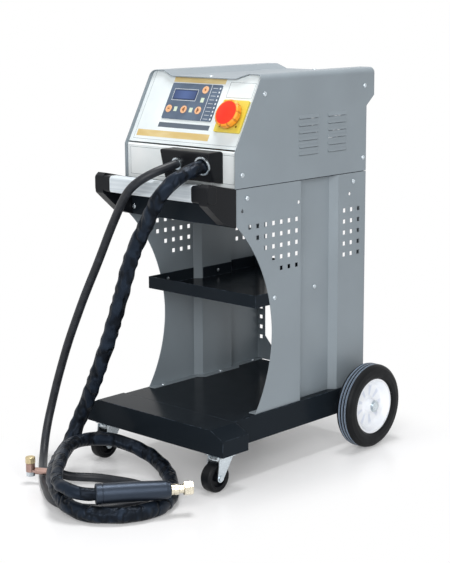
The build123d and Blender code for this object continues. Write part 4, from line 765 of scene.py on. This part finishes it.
# Gun cable. A welding cable in a black woven sleeve, which hangs loose on it and wrinkles
# where it bends. It leaves the outlet, falls past the handle and lies in a loop. Its route
# is in millimetres.
GUN_CABLE = 0.033
GUN_CABLE_ROUTE = [
    (104, -216.6, 687.3), (104, -247.7, 679.9), (98, -295, 667), (81, -326, 637), (56, -328, 598),
    (28, -326, 557), (3, -330, 513), (-16, -333, 468), (-30, -336, 421), (-46, -339, 374),
    (-62, -342, 328), (-79, -345, 283), (-98, -349, 238), (-118, -351, 193), (-140, -352, 150),
    (-155, -363, 108), (-152, -388, 70), (-135, -425, 54.5), (-108, -462, 54.5), (-79, -498, 51),
    (-46, -530, 46), (-7, -556, 42), (34, -577, 31), (79, -585, 20.5), (125, -571, 17.2),
    (163, -541, 17.5), (188, -498, 18), (192, -451, 17.2), (174, -406, 18), (144, -367, 17.2),
    (106, -333, 17.5), (68, -303, 20), (26, -282, 28), (-18, -279, 44), (-60, -298, 59.5),
    (-91, -332, 75), (-108, -378, 82.5), (-104, -426, 85), (-81, -469, 83.5), (-48, -505, 80.5),
    (-16, -540, 78), (13, -572, 73), (44, -591, 67), (77, -592, 63.5), (105.8, -576.7, 56.1),
    (125.6, -549, 55.9),
]
SLEEVE_START = 5                          # points of the route over which the sleeve widens
SLEEVE_FULL = 31                          # points up to which it is at its fullest
SLEEVE_TIGHT = 40                         # and from which it is drawn tight for the gun
FULL_WIDTH = 1.05                         # widths as shares of the cable's own
GATHERED_BY = 0.13
DRAWN_BY = 0.22
FOLD_SIZE = 0.08
FOLD_TILT = (0.4, -0.7, 0.5)
FOLD_DEPTH = 0.0018


def metres(route):
    """The points of a cable's route in metres."""
    return [[step / 1000 for step in point] for point in route]


gun_cable = nurbs_line("gun_cable_sleeve", metres(GUN_CABLE_ROUTE), 18)
for index, point in enumerate(gun_cable.data.splines[0].points):
    drawn = min(1, max(0, (index - SLEEVE_FULL) / (SLEEVE_TIGHT - SLEEVE_FULL)))
    gathered = max(0, 1 - index / SLEEVE_START)
    point.radius = FULL_WIDTH - DRAWN_BY * drawn - GATHERED_BY * gathered
centreline = bpy.data.meshes.new_from_object(gun_cable)
bpy.data.meshes.remove(centreline)
thicken(gun_cable, GUN_CABLE / 2, 8)
bpy.ops.object.convert(target="MESH")
bpy.ops.object.shade_smooth()

bpy.ops.object.empty_add(location=(0, 0, 0), rotation=FOLD_TILT)
guide = bpy.context.object
guide.scale = (FOLD_SIZE, FOLD_SIZE, FOLD_SIZE)
bpy.context.view_layer.update()
bpy.ops.object.select_all(action="DESELECT")
gun_cable.select_set(True)
bpy.context.view_layer.objects.active = gun_cable
folds = bpy.data.textures.new("sleeve folds", "WOOD")
folds.wood_type = "BANDNOISE"
folds.noise_scale = 0.7
folds.turbulence = 9
wrinkled = gun_cable.modifiers.new("folds", "DISPLACE")
wrinkled.texture = folds
wrinkled.texture_coords = "OBJECT"
wrinkled.texture_coords_object = guide
wrinkled.strength = FOLD_DEPTH
wrinkled.mid_level = 1.0
bpy.ops.object.modifier_apply(modifier=wrinkled.name)
bpy.data.objects.remove(guide)

sleeve = Finish("woven sleeve", Roughness=0.4, Specular_IOR_Level=0.22, Specular_Tint=tint(COLD_SHEEN))
worn = sleeve.place.grain(40, 4).rise(0.4, 0.8)
shown = (worn * 0.5).mix(tint("161c25"), tint("2b3644"))
crease = (sleeve.place.grain(30, 2, (1, 0.7, 0.45)) - 0.5).math("ABSOLUTE").rise(0, 0.1)
# The creases are painted near black, a painted shade in the folds of the sleeve.
sleeve.set("Base Color", crease.mix(tint("090b0e"), shown))
sleeve.set("Normal", sleeve.place.grain(700).bump(0.0003, 0.4, crease.bump(0.003, 0.8)))
instead_of("gun_cable", gun_cable, sleeve.material)

# Earth cable. A thinner rubber cable from the other gland, which falls outside the gun
# cable, runs under it and ends in the earth lug.
EARTH_CABLE = 0.019
EARTH_CABLE_ROUTE = [
    (30, -216.6, 687.3), (30, -241.9, 681.3), (15, -289, 668), (-17, -316, 642), (-54, -309, 608),
    (-86, -299, 571), (-109, -300, 531), (-127, -304, 490), (-145, -308, 451), (-165, -311, 412),
    (-185, -314, 372), (-203, -317, 332), (-220, -321, 292), (-236, -324, 252), (-251, -327, 210),
    (-265, -330, 168.5), (-275, -335, 127), (-277, -347, 87), (-267, -366, 50.5), (-245, -390, 24),
    (-216, -417, 12), (-182, -445, 9.6), (-147, -473, 9.6), (-110, -501, 9.6), (-72, -526, 9.6),
    (-34, -550, 9.6), (7, -561, 9.6), (49, -554, 9.6), (85, -532, 9.6), (110, -498, 9.6),
    (122, -459, 9.6), (118, -419, 9.6), (99, -386, 9.6), (65, -369, 9.6), (25, -370, 9.6),
    (-16, -383, 9.6), (-54, -402, 11.5), (-79, -428, 13.5), (-90, -453, 19), (-105.2, -468.1, 28),
    (-124.3, -479, 28),
]
earth_cable = nurbs_line("earth_cable_jacket", metres(EARTH_CABLE_ROUTE), 16)
thicken(earth_cable, EARTH_CABLE / 2, 6)
jacket = Finish("cable jacket", Specular_IOR_Level=0.35)
scuff = jacket.place.grain(55, 4).rise(0.45, 0.8)
jacket.set("Base Color", (scuff * 0.6).mix(tint("1b1e24"), tint("343941")))
jacket.set("Roughness", scuff * 0.15 + 0.42)
jacket.set("Normal", jacket.place.grain(800).bump(0.0002, 0.35))
instead_of("earth_cable", earth_cable, jacket.material)

# Studio. A pale floor that fades into a white surround, with a large soft light in front,
# one overhead, and a tall strip on the right that shines along round pieces.
FLOOR_SIZE = 12
SHADED_X = 0.26                           # half sizes of the floor that shows its shadows most
SHADED_Y = 0.48
SHADED_MIDDLE_Y = -0.16
FADE = 0.2                                # distance from there over which the floor turns white
LEAST_WHITE = 0.2                         # share of plain white that the floor has near the machine
SURROUND_LIGHT = 0.36                     # strength of the light that falls from the surround
STUDIO_AIM = (0, 0, 0.5)
WHITE = (1, 1, 1, 1)


def shows_background(tree):
    """1 for the rays that see the background itself, in the view, in metal and through glass."""
    rays = ("Is Camera Ray", "Is Glossy Ray", "Is Transmission Ray")
    return sum(Wire(tree).node("ShaderNodeLightPath", {}, {}, ray) for ray in rays).math("MINIMUM", 1.0)


bpy.ops.mesh.primitive_plane_add(size=FLOOR_SIZE, location=(0, 0, 0))
floor = bpy.context.object
floor.name = "studio_floor"
pale = Finish("studio floor", Base_Color=tint("fbfbfc"), Roughness=0.28, Specular_IOR_Level=0.3)
aside = (pale.place.along((1, 0, 0)).math("ABSOLUTE") - SHADED_X).math("MAXIMUM", 0.0)
ahead = (pale.place.along((0, 1, 0)) - SHADED_MIDDLE_Y).math("ABSOLUTE") - SHADED_Y
far = aside.hypot(ahead.math("MAXIMUM", 0.0)).rise(0, FADE)
share = shows_background(pale.tree) * (far * (1 - LEAST_WHITE) + LEAST_WHITE)
lit = Wire(pale.tree, pale.shader.outputs["BSDF"])
plain = pale.place.node("ShaderNodeEmission", {}, {"Color": WHITE, "Strength": 1.0})
blend = pale.place.node("ShaderNodeMixShader", {}, {0: share, 1: lit, 2: plain})
pale.tree.links.new(blend.socket, pale.tree.nodes["Material Output"].inputs["Surface"])
floor.data.materials.append(pale.material)

world = bpy.data.worlds.new("white surround")
bpy.context.scene.world = world
world.use_nodes = True
sky = world.node_tree
strength = shows_background(sky) * (1 - SURROUND_LIGHT) + SURROUND_LIGHT
sky.nodes["Background"].inputs["Color"].default_value = WHITE
sky.links.new(strength.socket, sky.nodes["Background"].inputs["Strength"])


def soft_light(name, place, aim, width, height, power):
    """A soft box of this width and height that faces a point."""
    bpy.ops.object.light_add(type="AREA", location=place)
    lamp = bpy.context.object
    lamp.name = name
    lamp.rotation_euler = (Vector(place) - Vector(aim)).to_track_quat("Z", "Y").to_euler()
    lamp.data.shape = "RECTANGLE"
    lamp.data.size = width
    lamp.data.size_y = height
    lamp.data.energy = power


soft_light("front_soft_box", place=(1.9, -3.0, 1.9), aim=STUDIO_AIM, width=1.6, height=1.6, power=58)
soft_light(
    "side_strip_box", place=(3.2, -1.75, 1.75), aim=(0.2, -0.5, 0.4), width=0.35, height=2.4, power=27,
)
soft_light("top_soft_box", place=(0.0, 0.1, 3.4), aim=STUDIO_AIM, width=1.0, height=1.0, power=62)

# Camera. It stands where the photograph was taken from, to the right of the machine's front
# and a little above it, with a long lens and a slight roll.
CAMERA_PLACE = (2.20574, -2.39303, 1.04115)
CAMERA_BACK = Vector((0.6723, -0.7139, 0.1958))
CAMERA_ROLL = math.radians(-0.311)
CAMERA_LENS = 92.84                       # in millimetres, as is the sensor
SENSOR_WIDTH = 36
bpy.ops.object.camera_add(location=CAMERA_PLACE)
camera = bpy.context.object
aim = CAMERA_BACK.to_track_quat("Z", "Y").to_matrix() @ Matrix.Rotation(CAMERA_ROLL, 3, "Z")
camera.rotation_euler = aim.to_euler()
camera.data.lens = CAMERA_LENS
camera.data.sensor_width = SENSOR_WIDTH
bpy.context.scene.camera = camera
bpy.context.scene.view_settings.view_transform = "Standard"
